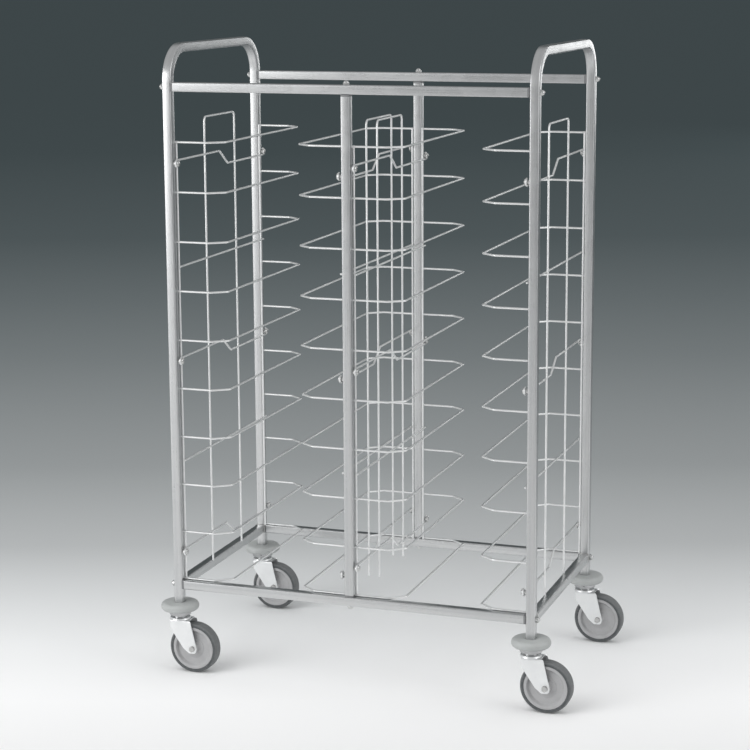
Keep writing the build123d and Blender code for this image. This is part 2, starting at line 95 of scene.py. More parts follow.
class ShaderDesk:
    """Adds and joins the shader nodes of one material."""

    # A Mix node has sockets for each kind of data; these are the ones for colours
    COLOUR_INPUTS = (6, 7)
    COLOUR_OUTPUT = 2

    def __init__(self, name: str) -> None:
        """Start a material with one surface shader.

        Args:
            name: name of the material.
        """
        self.material = bpy.data.materials.new(name)
        self.material.use_nodes = True
        self.tree = self.material.node_tree
        self.tree.nodes.clear()
        self.surface = self.node("ShaderNodeBsdfPrincipled")
        output = self.node("ShaderNodeOutputMaterial")
        self.tree.links.new(self.surface.outputs["BSDF"], output.inputs["Surface"])
        self.coordinates = self.node("ShaderNodeTexCoord").outputs["Object"]

    def follow(self, attribute: str) -> None:
        """Read patterns from a mesh attribute instead of object coordinates."""
        source = self.node("ShaderNodeAttribute", attribute_name=attribute)
        self.coordinates = source.outputs["Vector"]

    def node(self, kind: str, **settings: object) -> bpy.types.Node:
        """Add one node.

        Args:
            kind: Blender's name for the node type.
            settings: properties to set on it.

        Returns:
            The new node.
        """
        made = self.tree.nodes.new(kind)
        for key, value in settings.items():
            setattr(made, key, value)
        return made

    def set_surface(self, **values: object) -> None:
        """Set the surface shader's own sockets; underscores stand for spaces."""
        for key, value in values.items():
            self.surface.inputs[key.replace("_", " ")].default_value = value

    def drive(self, socket: str, source: bpy.types.NodeSocket) -> None:
        """Feed one socket of the surface shader."""
        self.tree.links.new(source, self.surface.inputs[socket])

    def stretched(self, scale: Sequence[float]) -> bpy.types.NodeSocket:
        """Pattern coordinates multiplied by a scale for each axis.

        Args:
            scale: repeats for each metre along X, Y and Z.

        Returns:
            The stretched coordinates.
        """
        mapping = self.node("ShaderNodeMapping")
        mapping.inputs["Scale"].default_value = tuple(scale)
        self.tree.links.new(self.coordinates, mapping.inputs["Vector"])
        return mapping.outputs["Vector"]

    def along(self, direction: Point3) -> bpy.types.NodeSocket:
        """Distance of the shaded point from the origin along a direction.

        Args:
            direction: the direction, one metre long.

        Returns:
            The distance.
        """
        made = self.node("ShaderNodeVectorMath", operation="DOT_PRODUCT")
        made.inputs[1].default_value = direction
        self.tree.links.new(self.coordinates, made.inputs[0])
        return made.outputs["Value"]

    def noise(
        self, scale: Sequence[float], detail: float = 2.0, rough: float = 0.5
    ) -> bpy.types.NodeSocket:
        """Noise over the pattern coordinates.

        Args:
            scale: repeats for each metre along X, Y and Z.
            detail: number of finer layers.
            rough: strength of the finer layers.

        Returns:
            The noise value, mostly between 0.3 and 0.7.
        """
        made = self.node("ShaderNodeTexNoise")
        made.inputs["Scale"].default_value = 1.0
        made.inputs["Detail"].default_value = detail
        made.inputs["Roughness"].default_value = rough
        self.tree.links.new(self.stretched(scale), made.inputs["Vector"])
        return made.outputs["Fac"]

    def cells(self, scale: float) -> bpy.types.NodeSocket:
        """Random grey for each cell of a cellular pattern.

        Args:
            scale: cells for each metre.

        Returns:
            A colour that is constant over each cell.
        """
        made = self.node("ShaderNodeTexVoronoi")
        made.inputs["Scale"].default_value = scale
        self.tree.links.new(self.coordinates, made.inputs["Vector"])
        return made.outputs["Color"]

    def spread(
        self,
        value: bpy.types.NodeSocket,
        low: float,
        high: float,
        start: float = 0.3,
        end: float = 0.7,
    ) -> bpy.types.NodeSocket:
        """Map a noise value from its own range to a new one.

        Args:
            value: the value to map.
            low: result at the start of the range.
            high: result at the end of the range.
            start: lowest value of the noise that counts.
            end: highest value of the noise that counts.

        Returns:
            The mapped value.
        """
        made = self.node("ShaderNodeMapRange", clamp=True)
        made.inputs["From Min"].default_value = start
        made.inputs["From Max"].default_value = end
        made.inputs["To Min"].default_value = low
        made.inputs["To Max"].default_value = high
        self.tree.links.new(value, made.inputs["Value"])
        return made.outputs["Result"]

    def calculate(
        self,
        operation: str,
        first: bpy.types.NodeSocket,
        second: bpy.types.NodeSocket | float | None = None,
    ) -> bpy.types.NodeSocket:
        """Work out a value from one or two others.

        Args:
            operation: Blender's name for the operation.
            first: the first value.
            second: the second value or a number, where the operation has one.

        Returns:
            The result.
        """
        made = self.node("ShaderNodeMath", operation=operation)
        self.tree.links.new(first, made.inputs[0])
        if isinstance(second, bpy.types.NodeSocket):
            self.tree.links.new(second, made.inputs[1])
        elif second is not None:
            made.inputs[1].default_value = second
        return made.outputs["Value"]

    def blend(
        self,
        factor: bpy.types.NodeSocket,
        first: Colour | bpy.types.NodeSocket,
        second: Colour | bpy.types.NodeSocket,
    ) -> bpy.types.NodeSocket:
        """Mix two colours, each given as a colour or as a socket.

        Args:
            factor: 0 gives the first colour and 1 the second.
            first: a colour or a socket.
            second: a colour or a socket.

        Returns:
            The mixed colour.
        """
        made = self.node("ShaderNodeMix", data_type="RGBA")
        self.tree.links.new(factor, made.inputs["Factor"])
        for place, colour in zip(self.COLOUR_INPUTS, (first, second)):
            if isinstance(colour, bpy.types.NodeSocket):
                self.tree.links.new(colour, made.inputs[place])
            else:
                made.inputs[place].default_value = (*colour, 1.0)
        return made.outputs[self.COLOUR_OUTPUT]

    def cloud(
        self, value: bpy.types.NodeSocket, dark: Colour, light: Colour
    ) -> bpy.types.NodeSocket:
        """Mix a dark and a light colour by a noise value over its whole range."""
        return self.blend(self.spread(value, 0.0, 1.0), dark, light)

    def bump(self, height: bpy.types.NodeSocket, depth: float, strength: float) -> None:
        """Raise the surface by a pattern.

        Args:
            height: the pattern.
            depth: height of the pattern in metres.
            strength: how much of it shows.
        """
        made = self.node("ShaderNodeBump")
        made.inputs["Strength"].default_value = strength
        made.inputs["Distance"].default_value = depth
        self.tree.links.new(height, made.inputs["Height"])
        self.drive("Normal", made.outputs["Normal"])


@dataclass(frozen=True)
class SatinSteel:
    """Stainless tube with fine polishing lines along its length and faint smudges.

    Attributes:
        name: name of the material.
        light: colour of the lighter bands.
        dark: colour of the darker bands and of the lines.
        polished: roughness between the lines.
        worn: roughness in the lines.
        lines_across: lines for each metre across the tube.
        lines_along: breaks in the lines for each metre along it.
        bands_across: bands for each metre across the tube.
        bands_along: breaks in the bands for each metre along it.
        smudge_scale: smudges for each metre.
        streak_share: how much of the dark colour the lines take.
        soiling: roughness that the smudges add.
        soiled_from: noise value at which a smudge starts.
        soiled_to: noise value at which it is full.
        line_depth: depth of the lines in metres.
        line_strength: how much of that depth shows.
    """

    name: str
    light: Colour = (0.66, 0.665, 0.665)
    dark: Colour = (0.56, 0.57, 0.575)
    polished: float = 0.25
    worn: float = 0.33
    lines_across: float = 1500.0
    lines_along: float = 6.0
    bands_across: float = 110.0
    bands_along: float = 1.6
    smudge_scale: float = 11.0
    streak_share: float = 0.2
    soiling: float = 0.06
    soiled_from: float = 0.48
    soiled_to: float = 0.66
    line_depth: float = 0.00002
    line_strength: float = 0.12

    def build(self) -> bpy.types.Material:
        """Make the material.

        Returns:
            The material. It reads the place on the unbent tube from the piece.
        """
        desk = ShaderDesk(self.name)
        desk.follow("unbent")
        grain = [self.lines_across, self.lines_across, self.lines_along]
        lines = desk.noise(grain, detail=3.0, rough=0.6)
        bands = desk.noise([self.bands_across, self.bands_across, self.bands_along])
        smudges = desk.noise([self.smudge_scale] * 3, detail=5.0, rough=0.62)
        desk.set_surface(Metallic=1.0, Specular_IOR_Level=0.5)
        tint = desk.cloud(bands, self.dark, self.light)
        streaked = desk.blend(desk.spread(lines, 0.0, self.streak_share), tint, self.dark)
        desk.drive("Base Color", streaked)
        fine = desk.spread(lines, self.polished, self.worn)
        soiled = desk.spread(smudges, 0.0, self.soiling, self.soiled_from, self.soiled_to)
        desk.drive("Roughness", desk.calculate("ADD", fine, soiled))
        desk.bump(lines, self.line_depth, self.line_strength)
        return desk.material


@dataclass(frozen=True)
class BrightSteel:
    """Electropolished or plated steel with a fine uneven skin."""

    name: str
    light: Colour = (0.72, 0.72, 0.71)
    dark: Colour = (0.55, 0.56, 0.56)
    smooth: float = 0.16
    rough: float = 0.3
    skin_scale: float = 900.0
    cloud_scale: float = 35.0
    skin_depth: float = 0.00002
    skin_strength: float = 0.2

    def build(self) -> bpy.types.Material:
        """Make the material.

        Returns:
            The material.
        """
        desk = ShaderDesk(self.name)
        skin = desk.noise([self.skin_scale] * 3, detail=3.0, rough=0.6)
        clouds = desk.noise([self.cloud_scale] * 3, detail=4.0, rough=0.6)
        desk.set_surface(Metallic=1.0)
        tint = desk.cloud(clouds, self.dark, self.light)
        desk.drive("Base Color", tint)
        desk.drive("Roughness", desk.spread(skin, self.smooth, self.rough))
        desk.bump(skin, self.skin_depth, self.skin_strength)
        return desk.material


@dataclass(frozen=True)
class ZincPlate:
    """Bright zinc plating: pale, faintly spangled, with a cool tint."""

    name: str
    light: Colour = (0.88, 0.89, 0.89)
    dark: Colour = (0.81, 0.82, 0.825)
    metal: float = 0.75
    smooth: float = 0.28
    rough: float = 0.42
    spangle_scale: float = 420.0
    spangle_share: float = 0.15
    cloud_scale: float = 28.0
    skin_scale: float = 1400.0
    skin_depth: float = 0.00002
    skin_strength: float = 0.15

    def build(self) -> bpy.types.Material:
        """Make the material.

        Returns:
            The material.
        """
        desk = ShaderDesk(self.name)
        spangle = desk.cells(self.spangle_scale)
        clouds = desk.noise([self.cloud_scale] * 3, detail=4.0, rough=0.6)
        skin = desk.noise([self.skin_scale] * 3)
        desk.set_surface(Metallic=self.metal)
        tint = desk.cloud(clouds, self.dark, self.light)
        speckle = desk.spread(spangle, 0.0, self.spangle_share, 0.0, 1.0)
        desk.drive("Base Color", desk.blend(speckle, tint, self.light))
        desk.drive("Roughness", desk.spread(clouds, self.smooth, self.rough))
        desk.bump(skin, self.skin_depth, self.skin_strength)
        return desk.material


@dataclass(frozen=True)
class MouldedPlastic:
    """Moulded plastic or rubber: fine grain, slight clouding and worn patches."""

    name: str
    light: Colour
    dark: Colour
    smooth: float = 0.42
    rough: float = 0.62
    grain_scale: float = 2600.0
    grain_depth: float = 0.00006
    grain_strength: float = 0.3
    cloud_scale: float = 40.0
    dust_scale: float = 3.1
    dust: Colour = (0.5, 0.49, 0.47)
    dust_amount: float = 0.06
    dusty_from: float = 0.5
    dusty_to: float = 0.68

    def build(self) -> bpy.types.Material:
        """Make the material.

        Returns:
            The material.
        """
        desk = ShaderDesk(self.name)
        grain = desk.noise([self.grain_scale] * 3)
        clouds = desk.noise([self.cloud_scale] * 3, detail=5.0, rough=0.6)
        finer = self.cloud_scale * self.dust_scale
        dust = desk.noise([finer] * 3, detail=6.0, rough=0.7)
        tint = desk.cloud(clouds, self.dark, self.light)
        dusted = desk.spread(dust, 0.0, self.dust_amount, self.dusty_from, self.dusty_to)
        desk.drive("Base Color", desk.blend(dusted, tint, self.dust))
        desk.drive("Roughness", desk.spread(clouds, self.smooth, self.rough))
        desk.bump(grain, self.grain_depth, self.grain_strength)
        return desk.material


@dataclass(frozen=True)
class TyreRubber:
    """Grey rubber whose rolling face is painted lighter than its side walls: painted light on the
    tread and painted shade on the walls.

    The walls end at a distance of wall_end from the axle, and the rolling face
    starts at tread_start, both in metres.
    """

    name: str
    # The wall colours carry painted shade and the tread colours carry painted light.
    shaded_wall_light: Colour = (0.085, 0.092, 0.095)
    shaded_wall_dark: Colour = (0.062, 0.068, 0.071)
    lit_tread_light: Colour = (0.16, 0.167, 0.17)
    lit_tread_dark: Colour = (0.125, 0.131, 0.134)
    wall_end: float = 0.0575
    tread_start: float = 0.0608
    smooth: float = 0.55
    rough: float = 0.8
    grain_scale: float = 2300.0
    grain_depth: float = 0.00006
    grain_strength: float = 0.3
    cloud_scale: float = 45.0
    dust_scale: float = 3.3
    dust: Colour = (0.5, 0.49, 0.47)
    dust_amount: float = 0.1
    dusty_from: float = 0.5
    dusty_to: float = 0.68

    def build(self) -> bpy.types.Material:
        """Make the material.

        Returns:
            The material. It reads the distance from the axle from the piece.
        """
        desk = ShaderDesk(self.name)
        desk.follow("unbent")
        grain = desk.noise([self.grain_scale] * 3)
        clouds = desk.noise([self.cloud_scale] * 3, detail=5.0, rough=0.6)
        finer = self.cloud_scale * self.dust_scale
        dust = desk.noise([finer] * 3, detail=6.0, rough=0.7)
        from_axle = desk.node("ShaderNodeVectorMath", operation="LENGTH")
        desk.tree.links.new(desk.stretched((1.0, 1.0, 0.0)), from_axle.inputs[0])
        radius = from_axle.outputs["Value"]
        cloudy = desk.spread(clouds, 0.0, 1.0)
        wall = desk.blend(cloudy, self.shaded_wall_dark, self.shaded_wall_light)
        tread = desk.blend(cloudy, self.lit_tread_dark, self.lit_tread_light)
        # Painted light and shade: past wall_end the colour turns from the darker walls to the
        # lighter tread, for the lamps falling on the rolling face. This share is not wear.
        worn = desk.spread(radius, 0.0, 1.0, self.wall_end, self.tread_start)
        rubber = desk.blend(worn, wall, tread)
        dusted = desk.spread(dust, 0.0, self.dust_amount, self.dusty_from, self.dusty_to)
        desk.drive("Base Color", desk.blend(dusted, rubber, self.dust))
        desk.drive("Roughness", desk.spread(clouds, self.smooth, self.rough))
        desk.bump(grain, self.grain_depth, self.grain_strength)
        return desk.material


@dataclass(frozen=True)
class PaleFloor:
    """Pale studio floor with a painted pool of light round the trolley, and painted shade darkening
    it evenly into the far backdrop behind the trolley and a little towards the front.

    The dark part spreads like a fan away from the main camera. Beside the fan
    the floor keeps one even grey. Distances are in metres.

    Attributes:
        name: name of the material.
        away: direction in which the floor darkens.
        across: direction across that one.
        start: where the shades start, measured from the trolley's middle.
        front: how pale the floor is there; painted shade in front of the pool of light.
        shades: (distance, how pale) of the other shades, from front to back. Together they paint
            the pool of light and the shade round it.
        cool_start: where the floor starts to turn green-blue.
        cool_reach: how far behind that the tint is full.
        cool_red_loss: share of red that the full tint takes away.
        cool_blue_gain: share of blue that it adds.
        fan_back: how far in front of the trolley the fan has its point.
        fan_inner: slope of the fan's side where it starts to fade.
        fan_outer: slope where it has faded.
        aside: colour beside the fan.
        smooth: lowest roughness.
        rough: highest roughness.
        cloud_scale: patches of roughness for each metre.
    """

    name: str
    away: Point3 = (-0.33, 0.944, 0.0)
    across: Point3 = (0.944, 0.33, 0.0)
    start: float = -5.0
    front: float = 0.56
    # Painted pool of light: palest at 0.93 just round the trolley, with painted shade darker in
    # front and far behind.
    shades: tuple[Point2, ...] = (
        (-2.5, 0.6),
        (-1.0, 0.76),
        (-0.3, 0.93),
        (0.1, 0.87),
        (0.5, 0.71),
        (1.0, 0.5),
        (2.0, 0.355),
        (4.0, 0.26),
        (5.6, 0.215),
        (8.0, 0.16),
        (14.0, 0.13),
    )
    cool_start: float = -0.3
    cool_reach: float = 10.0
    cool_red_loss: float = 0.22
    cool_blue_gain: float = 0.05
    fan_back: float = 5.0
    fan_inner: float = 0.5
    fan_outer: float = 2.0
    aside: Colour = (0.62, 0.625, 0.63)
    smooth: float = 0.55
    rough: float = 0.7
    cloud_scale: float = 1.4

    def shade(self, distance: float, level: float) -> tuple[float, float, float, float]:
        """Colour of the floor: neutral near the trolley and slightly green-blue far behind.

        Args:
            distance: how far behind the trolley's middle.
            level: how pale the floor is there.

        Returns:
            The colour with its alpha.
        """
        cool = min(max((distance - self.cool_start) / self.cool_reach, 0.0), 1.0)
        red, blue = 1 - self.cool_red_loss * cool, 1 + self.cool_blue_gain * cool
        return (level * red, level, level * blue, 1.0)

    def behind(self, desk: ShaderDesk, depth: bpy.types.NodeSocket) -> bpy.types.NodeSocket:
        """Colour of the fan by its distance behind the trolley's middle: the painted pool of light
        and its painted shade.

        Args:
            desk: the material's desk.
            depth: the distance.

        Returns:
            The colour.
        """
        end = self.shades[-1][0]
        share = desk.spread(depth, 0.0, 1.0, self.start, end)
        ramp = desk.node("ShaderNodeValToRGB")
        desk.tree.links.new(share, ramp.inputs["Fac"])
        stops = ramp.color_ramp.elements
        stops[0].position, stops[0].color = 0.0, self.shade(self.start, self.front)
        stops[1].position, stops[1].color = 1.0, self.shade(*self.shades[-1])
        for distance, level in self.shades[:-1]:
            place = (distance - self.start) / (end - self.start)
            stops.new(place).color = self.shade(distance, level)
        return ramp.outputs["Color"]

    def build(self) -> bpy.types.Material:
        """Make the material.

        Returns:
            The material.
        """
        desk = ShaderDesk(self.name)
        clouds = desk.noise([self.cloud_scale] * 3, detail=3.0)
        desk.set_surface(Specular_IOR_Level=0.0)
        depth = desk.along(self.away)
        reach = desk.calculate("ADD", depth, self.fan_back)
        slope = desk.calculate("DIVIDE", desk.along(self.across), reach)
        off_middle = desk.calculate("ABSOLUTE", slope)
        beside = desk.spread(off_middle, 0.0, 1.0, self.fan_inner, self.fan_outer)
        desk.drive("Base Color", desk.blend(beside, self.behind(desk, depth), self.aside))
        desk.drive("Roughness", desk.spread(clouds, self.smooth, self.rough))
        return desk.material


class Finishes:
    """All materials of the trolley, each made once."""

    def __init__(self) -> None:
        """Make the materials."""
        self.tube = SatinSteel("satin_tube").build()
        self.wire = BrightSteel(
            "electropolished_wire",
            light=(0.93, 0.935, 0.93),
            dark=(0.85, 0.86, 0.86),
            smooth=0.32,
            rough=0.46,
        ).build()
        self.weld = BrightSteel(
            "weld_bead", light=(0.6, 0.6, 0.58), dark=(0.4, 0.4, 0.4), smooth=0.3, rough=0.5
        ).build()
        self.nut = BrightSteel("polished_cap_nut", cloud_scale=90.0).build()
        self.screw = BrightSteel("polished_screw", cloud_scale=120.0, smooth=0.2).build()
        self.zinc = ZincPlate("zinc_plated_pressing").build()
        self.chrome = BrightSteel(
            "chromed_cap",
            light=(0.5, 0.505, 0.51),
            dark=(0.38, 0.385, 0.39),
            smooth=0.06,
            rough=0.12,
        ).build()
        self.bolt = ZincPlate(
            "zinc_plated_bolt",
            light=(0.6, 0.6, 0.59),
            dark=(0.48, 0.48, 0.475),
            metal=1.0,
            smooth=0.18,
            rough=0.3,
            cloud_scale=150.0,
        ).build()
        self.plug = MouldedPlastic("plug_plastic", (0.21, 0.215, 0.22), (0.17, 0.175, 0.18)).build()
        self.expander = MouldedPlastic(
            "expander_plastic", (0.05, 0.05, 0.05), (0.03, 0.03, 0.03)
        ).build()
        self.buffer = MouldedPlastic(
            "buffer_plastic", (0.44, 0.455, 0.45), (0.385, 0.4, 0.395), grain_depth=0.0001
        ).build()
        self.core = MouldedPlastic(
            "wheel_core_plastic", (0.42, 0.42, 0.425), (0.37, 0.37, 0.375), smooth=0.35
        ).build()
        self.tyre = TyreRubber("tyre_rubber").build()

    def for_slot(self, slot: Slot) -> bpy.types.Material:
        """Finish of a frame node that is shown as it is.

        Args:
            slot: the record's slot of that node.

        Returns:
            The material.
        """
        return {
            Slot.TUBE: self.tube,
            Slot.WIRE: self.wire,
            Slot.RACK_SCREW: self.screw,
            Slot.FASTENER: self.nut,
            Slot.PLUG: self.plug,
            Slot.EXPANDER: self.expander,
            Slot.CASTOR: self.zinc,
            Slot.AXLE: self.bolt,
            Slot.BUFFER: self.buffer,
            Slot.WHEEL_CORE: self.core,
            Slot.TYRE: self.tyre,
        }[slot]


# Outlines and shapes


def rounded(corners: Sequence[Corner2], steps: int = 5, closed: bool = True) -> list[Point2]:
    """Outline with its corners rounded.

    Args:
        corners: (x, y, radius) of each corner, in order.
        steps: straight steps in each rounded corner.
        closed: false leaves the first and the last corner as they are.

    Returns:
        The points of the outline.
    """
    points: list[Point2] = []
    count = len(corners)
    for n, (x, y, radius) in enumerate(corners):
        here = Vector((x, y))
        if radius <= 0 or (not closed and n in (0, count - 1)):
            points.append((x, y))
            continue
        back = (Vector(corners[n - 1][:2]) - here).normalized()
        ahead = (Vector(corners[(n + 1) % count][:2]) - here).normalized()
        half = back.angle(ahead) / 2
        centre = here + (back + ahead).normalized() * (radius / math.sin(half))
        start = here + back * (radius / math.tan(half)) - centre
        turn = math.pi - 2 * half
        side = 1.0 if back.x * ahead.y - back.y * ahead.x < 0 else -1.0
        for step in range(steps + 1):
            angle = side * turn * step / steps
            cos, sin = math.cos(angle), math.sin(angle)
            points.append(
                (
                    centre.x + start.x * cos - start.y * sin,
                    centre.y + start.x * sin + start.y * cos,
                )
            )
    return points


def rounded_square(size: float, radius: float, steps: int = 5) -> list[Point2]:
    """Outline of a square with rounded corners about the origin.

    Args:
        size: length of its side.
        radius: radius of its corners.
        steps: straight steps in each corner.

    Returns:
        The points of the outline.
    """
    half = size / 2
    signs = ((1, -1), (1, 1), (-1, 1), (-1, -1))
    return rounded([(x * half, y * half, radius) for x, y in signs], steps)


def span_at(outline: Sequence[Point2], height: float) -> Point2:
    """Lowest and highest x of a closed outline at a height.

    Args:
        outline: (x, height) points.
        height: where to cut it.

    Returns:
        The two x values.
    """
    levels = [z for _, z in outline]
    height = min(max(height, min(levels) + TINY), max(levels) - TINY)
    hits: list[float] = []
    for n, (x1, z1) in enumerate(outline):
        x2, z2 = outline[(n + 1) % len(outline)]
        if min(z1, z2) <= height <= max(z1, z2):
            share = 0.0 if z1 == z2 else (height - z1) / (z2 - z1)
            hits.append(x1 + (x2 - x1) * share)
            if z1 == z2:
                hits.append(x2)
    return min(hits), max(hits)


class Shape:
    """Closed shells of one piece, in metres.

    Where every shell is turned or run, each point also keeps its place on the
    unbent piece, for the materials that follow it.
    """

    def __init__(self) -> None:
        """Start with nothing."""
        self.vertices: list[Vector] = []
        self.faces: list[list[int]] = []
        self.unbent: list[Vector] = []

    def join_rings(self, rings: Sequence[Sequence[Vector]], closed: bool = False) -> None:
        """Skin rings of points in order. A ring of one point is a pole.

        Args:
            rings: the rings, each with the same number of points or with one.
            closed: joins the last ring to the first in place of end caps.
        """
        starts = []
        for ring in rings:
            starts.append(len(self.vertices))
            self.vertices.extend(Vector(p) for p in ring)
        pairs = list(zip(range(len(rings) - 1), range(1, len(rings))))
        if closed:
            pairs.append((len(rings) - 1, 0))
        for a, b in pairs:
            na, nb = len(rings[a]), len(rings[b])
            for k in range(max(na, nb)):
                quad = [
                    starts[a] + k % na,
                    starts[a] + (k + 1) % na,
                    starts[b] + (k + 1) % nb,
                    starts[b] + k % nb,
                ]
                face = list(dict.fromkeys(quad))
                if len(face) > 2:
                    self.faces.append(face)
        if not closed:
            for end in (0, len(rings) - 1):
                if len(rings[end]) > 2:
                    self.faces.append([starts[end] + k for k in range(len(rings[end]))])

    def turn_profile(
        self, profile: Sequence[Point2], place: Matrix, segments: int = 64, closed: bool = False
    ) -> None:
        """Turn a profile round the local Z axis, which is also the unbent piece's Z.

        Args:
            profile: (radius, height) points in metres.
            place: where the local axis goes.
            segments: steps round the axis.
            closed: the profile is a closed loop, so the shape has a bore.
        """
        rings: list[list[Vector]] = []
        for radius, height in profile:
            if radius < TINY:
                rings.append([Vector((0, 0, height))])
                continue
            ring = []
            for k in range(segments):
                angle = 2 * math.pi * k / segments
                ring.append(Vector((radius * math.cos(angle), radius * math.sin(angle), height)))
            rings.append(ring)
        self.join_rings([[place @ point for point in ring] for ring in rings], closed)
        self.unbent.extend(point for ring in rings for point in ring)

    def turn_hexagon(
        self, across: float, levels: Sequence[Point2], place: Matrix, segments: int = 72
    ) -> None:
        """Hexagonal body whose corners are turned down to a radius at each level.

        Args:
            across: size across the flats.
            levels: (height, largest radius) of each ring, in order.
            place: where the local axis goes.
            segments: steps round the axis.
        """
        rings = []
        for height, limit in levels:
            ring = []
            for k in range(segments):
                angle = 2 * math.pi * k / segments
                off_flat = (angle + math.pi / 6) % (math.pi / 3) - math.pi / 6
                radius = min(across / 2 / math.cos(off_flat), limit)
                ring.append(
                    place @ Vector((radius * math.cos(angle), radius * math.sin(angle), height))
                )
            rings.append(ring)
        self.join_rings(rings)

    def run_section(self, section: Sequence[Point2], stations: Sequence[Matrix]) -> None:
        """Carry a section, drawn in the local X and Y, along a row of places.

        On the unbent piece Z runs along it, so that the grain follows the bends.

        Args:
            section: the outline.
            stations: the places, in order.
        """
        self.join_rings([[m @ Vector((x, y, 0)) for x, y in section] for m in stations])
        run = 0.0
        for n, m in enumerate(stations):
            run += (m.translation - stations[n - 1].translation).length if n else 0.0
            self.unbent.extend(Vector((x, y, run)) for x, y in section)

    def mesh(self, name: str, crease: float = CREASE) -> bpy.types.Mesh:
        """Make a mesh with outward faces, smooth up to the crease angle.

        Args:
            name: name of the mesh.
            crease: edges sharper than this many degrees stay sharp.

        Returns:
            The mesh.
        """
        made = bpy.data.meshes.new(name)
        made.from_pydata([tuple(v) for v in self.vertices], [], self.faces)
        if len(self.unbent) == len(self.vertices):
            straight = made.attributes.new("unbent", "FLOAT_VECTOR", "POINT")
            for n, point in enumerate(self.unbent):
                straight.data[n].vector = point
        finish_mesh(made, crease)
        return made


def finish_mesh(mesh: bpy.types.Mesh, crease: float) -> None:
    """Merge doubles, point the faces outwards and shade the mesh smooth up to an angle.

    Args:
        mesh: the mesh to treat.
        crease: edges sharper than this many degrees stay sharp.
    """
    work = bmesh.new()
    work.from_mesh(mesh)
    bmesh.ops.remove_doubles(work, verts=work.verts, dist=TINY)
    bmesh.ops.recalc_face_normals(work, faces=work.faces)
    work.to_mesh(mesh)
    work.free()
    mesh.shade_smooth()
    mesh.set_sharp_from_angle(angle=math.radians(crease))


def show(
    name: str,
    mesh: bpy.types.Mesh,
    material: bpy.types.Material,
    body: str,
    stands_for: Sequence[str] = (),
) -> bpy.types.Object:
    """Put a finished piece in the scene and tie it to the frame.

    Args:
        name: name of the piece.
        mesh: its mesh, in the trolley's frame.
        material: its finish.
        body: the frame's body that it moves with.
        stands_for: frame nodes that it replaces.

    Returns:
        The new object.
    """
    mesh.materials.clear()
    mesh.materials.append(material)
    piece = bpy.data.objects.new(name, mesh)
    bpy.context.scene.collection.objects.link(piece)
    if stands_for:
        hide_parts(*stands_for)
    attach(piece, body)
    log.info("%s: %d faces, on %s", name, len(mesh.polygons), body)
    return piece


def place_on(origin: Sequence[float], axis: Sequence[float]) -> Matrix:
    """Place whose local Z axis points along a direction.

    Args:
        origin: where the local origin goes.
        axis: direction of the local Z axis.

    Returns:
        The place as a matrix.
    """
    turn = Vector((0, 0, 1)).rotation_difference(Vector(axis).normalized())
    return Matrix.Translation(Vector(origin)) @ turn.to_matrix().to_4x4()


# Geometry Nodes


class NodeRecipe:
    """A Geometry Nodes tree with named inputs, run once on a carrier mesh."""

    def __init__(self, name: str, inputs: Sequence[tuple[str, str]]) -> None:
        """Start a tree.

        Args:
            name: name of the tree.
            inputs: (name, socket type) of each input after the geometry.
        """
        self.tree = bpy.data.node_groups.new(name, "GeometryNodeTree")
        face = self.tree.interface
        face.new_socket("Geometry", in_out="INPUT", socket_type="NodeSocketGeometry")
        for label, kind in inputs:
            face.new_socket(label, in_out="INPUT", socket_type=kind)
        face.new_socket("Geometry", in_out="OUTPUT", socket_type="NodeSocketGeometry")
        self.start = self.tree.nodes.new("NodeGroupInput")
        self.end = self.tree.nodes.new("NodeGroupOutput")

    def node(self, kind: str, **settings: object) -> bpy.types.Node:
        """Add one node.

        Args:
            kind: Blender's name for the node type.
            settings: properties to set on it.

        Returns:
            The new node.
        """
        made = self.tree.nodes.new(kind)
        for key, value in settings.items():
            setattr(made, key, value)
        return made

    def link(self, source: bpy.types.NodeSocket, target: bpy.types.NodeSocket) -> None:
        """Join two sockets."""
        self.tree.links.new(source, target)

    def given(self, label: str) -> bpy.types.NodeSocket:
        """Socket of a named input."""
        return self.start.outputs[label]

    def close(self, geometry: bpy.types.NodeSocket) -> None:
        """End the tree in Realize Instances and Set Material.

        Args:
            geometry: the finished geometry.
        """
        real = self.node("GeometryNodeRealizeInstances")
        dress = self.node("GeometryNodeSetMaterial")
        self.link(geometry, real.inputs["Geometry"])
        self.link(real.outputs["Geometry"], dress.inputs["Geometry"])
        self.link(self.given("Finish"), dress.inputs["Material"])
        self.link(dress.outputs["Geometry"], self.end.inputs[0])

    def run(
        self, name: str, carrier: bpy.types.Mesh, values: dict[str, object], crease: float = CREASE
    ) -> bpy.types.Mesh:
        """Run the tree on a carrier mesh and keep the result as a plain mesh.

        Args:
            name: name of the resulting mesh.
            carrier: the mesh that goes in.
            values: input values by name.
            crease: edges sharper than this many degrees stay sharp.

        Returns:
            The plain mesh.
        """
        holder = bpy.data.objects.new(f"{name}_carrier", carrier)
        bpy.context.scene.collection.objects.link(holder)
        modifier = holder.modifiers.new("build", "NODES")
        modifier.node_group = self.tree
        for item in self.tree.interface.items_tree:
            if item.in_out == "INPUT" and item.name in values:
                modifier[item.identifier] = values[item.name]
        graph = bpy.context.evaluated_depsgraph_get()
        made = bpy.data.meshes.new_from_object(holder.evaluated_get(graph), depsgraph=graph)
        made.name = name
        holder.modifiers.remove(modifier)
        bpy.data.objects.remove(holder)
        finish_mesh(made, crease)
        return made


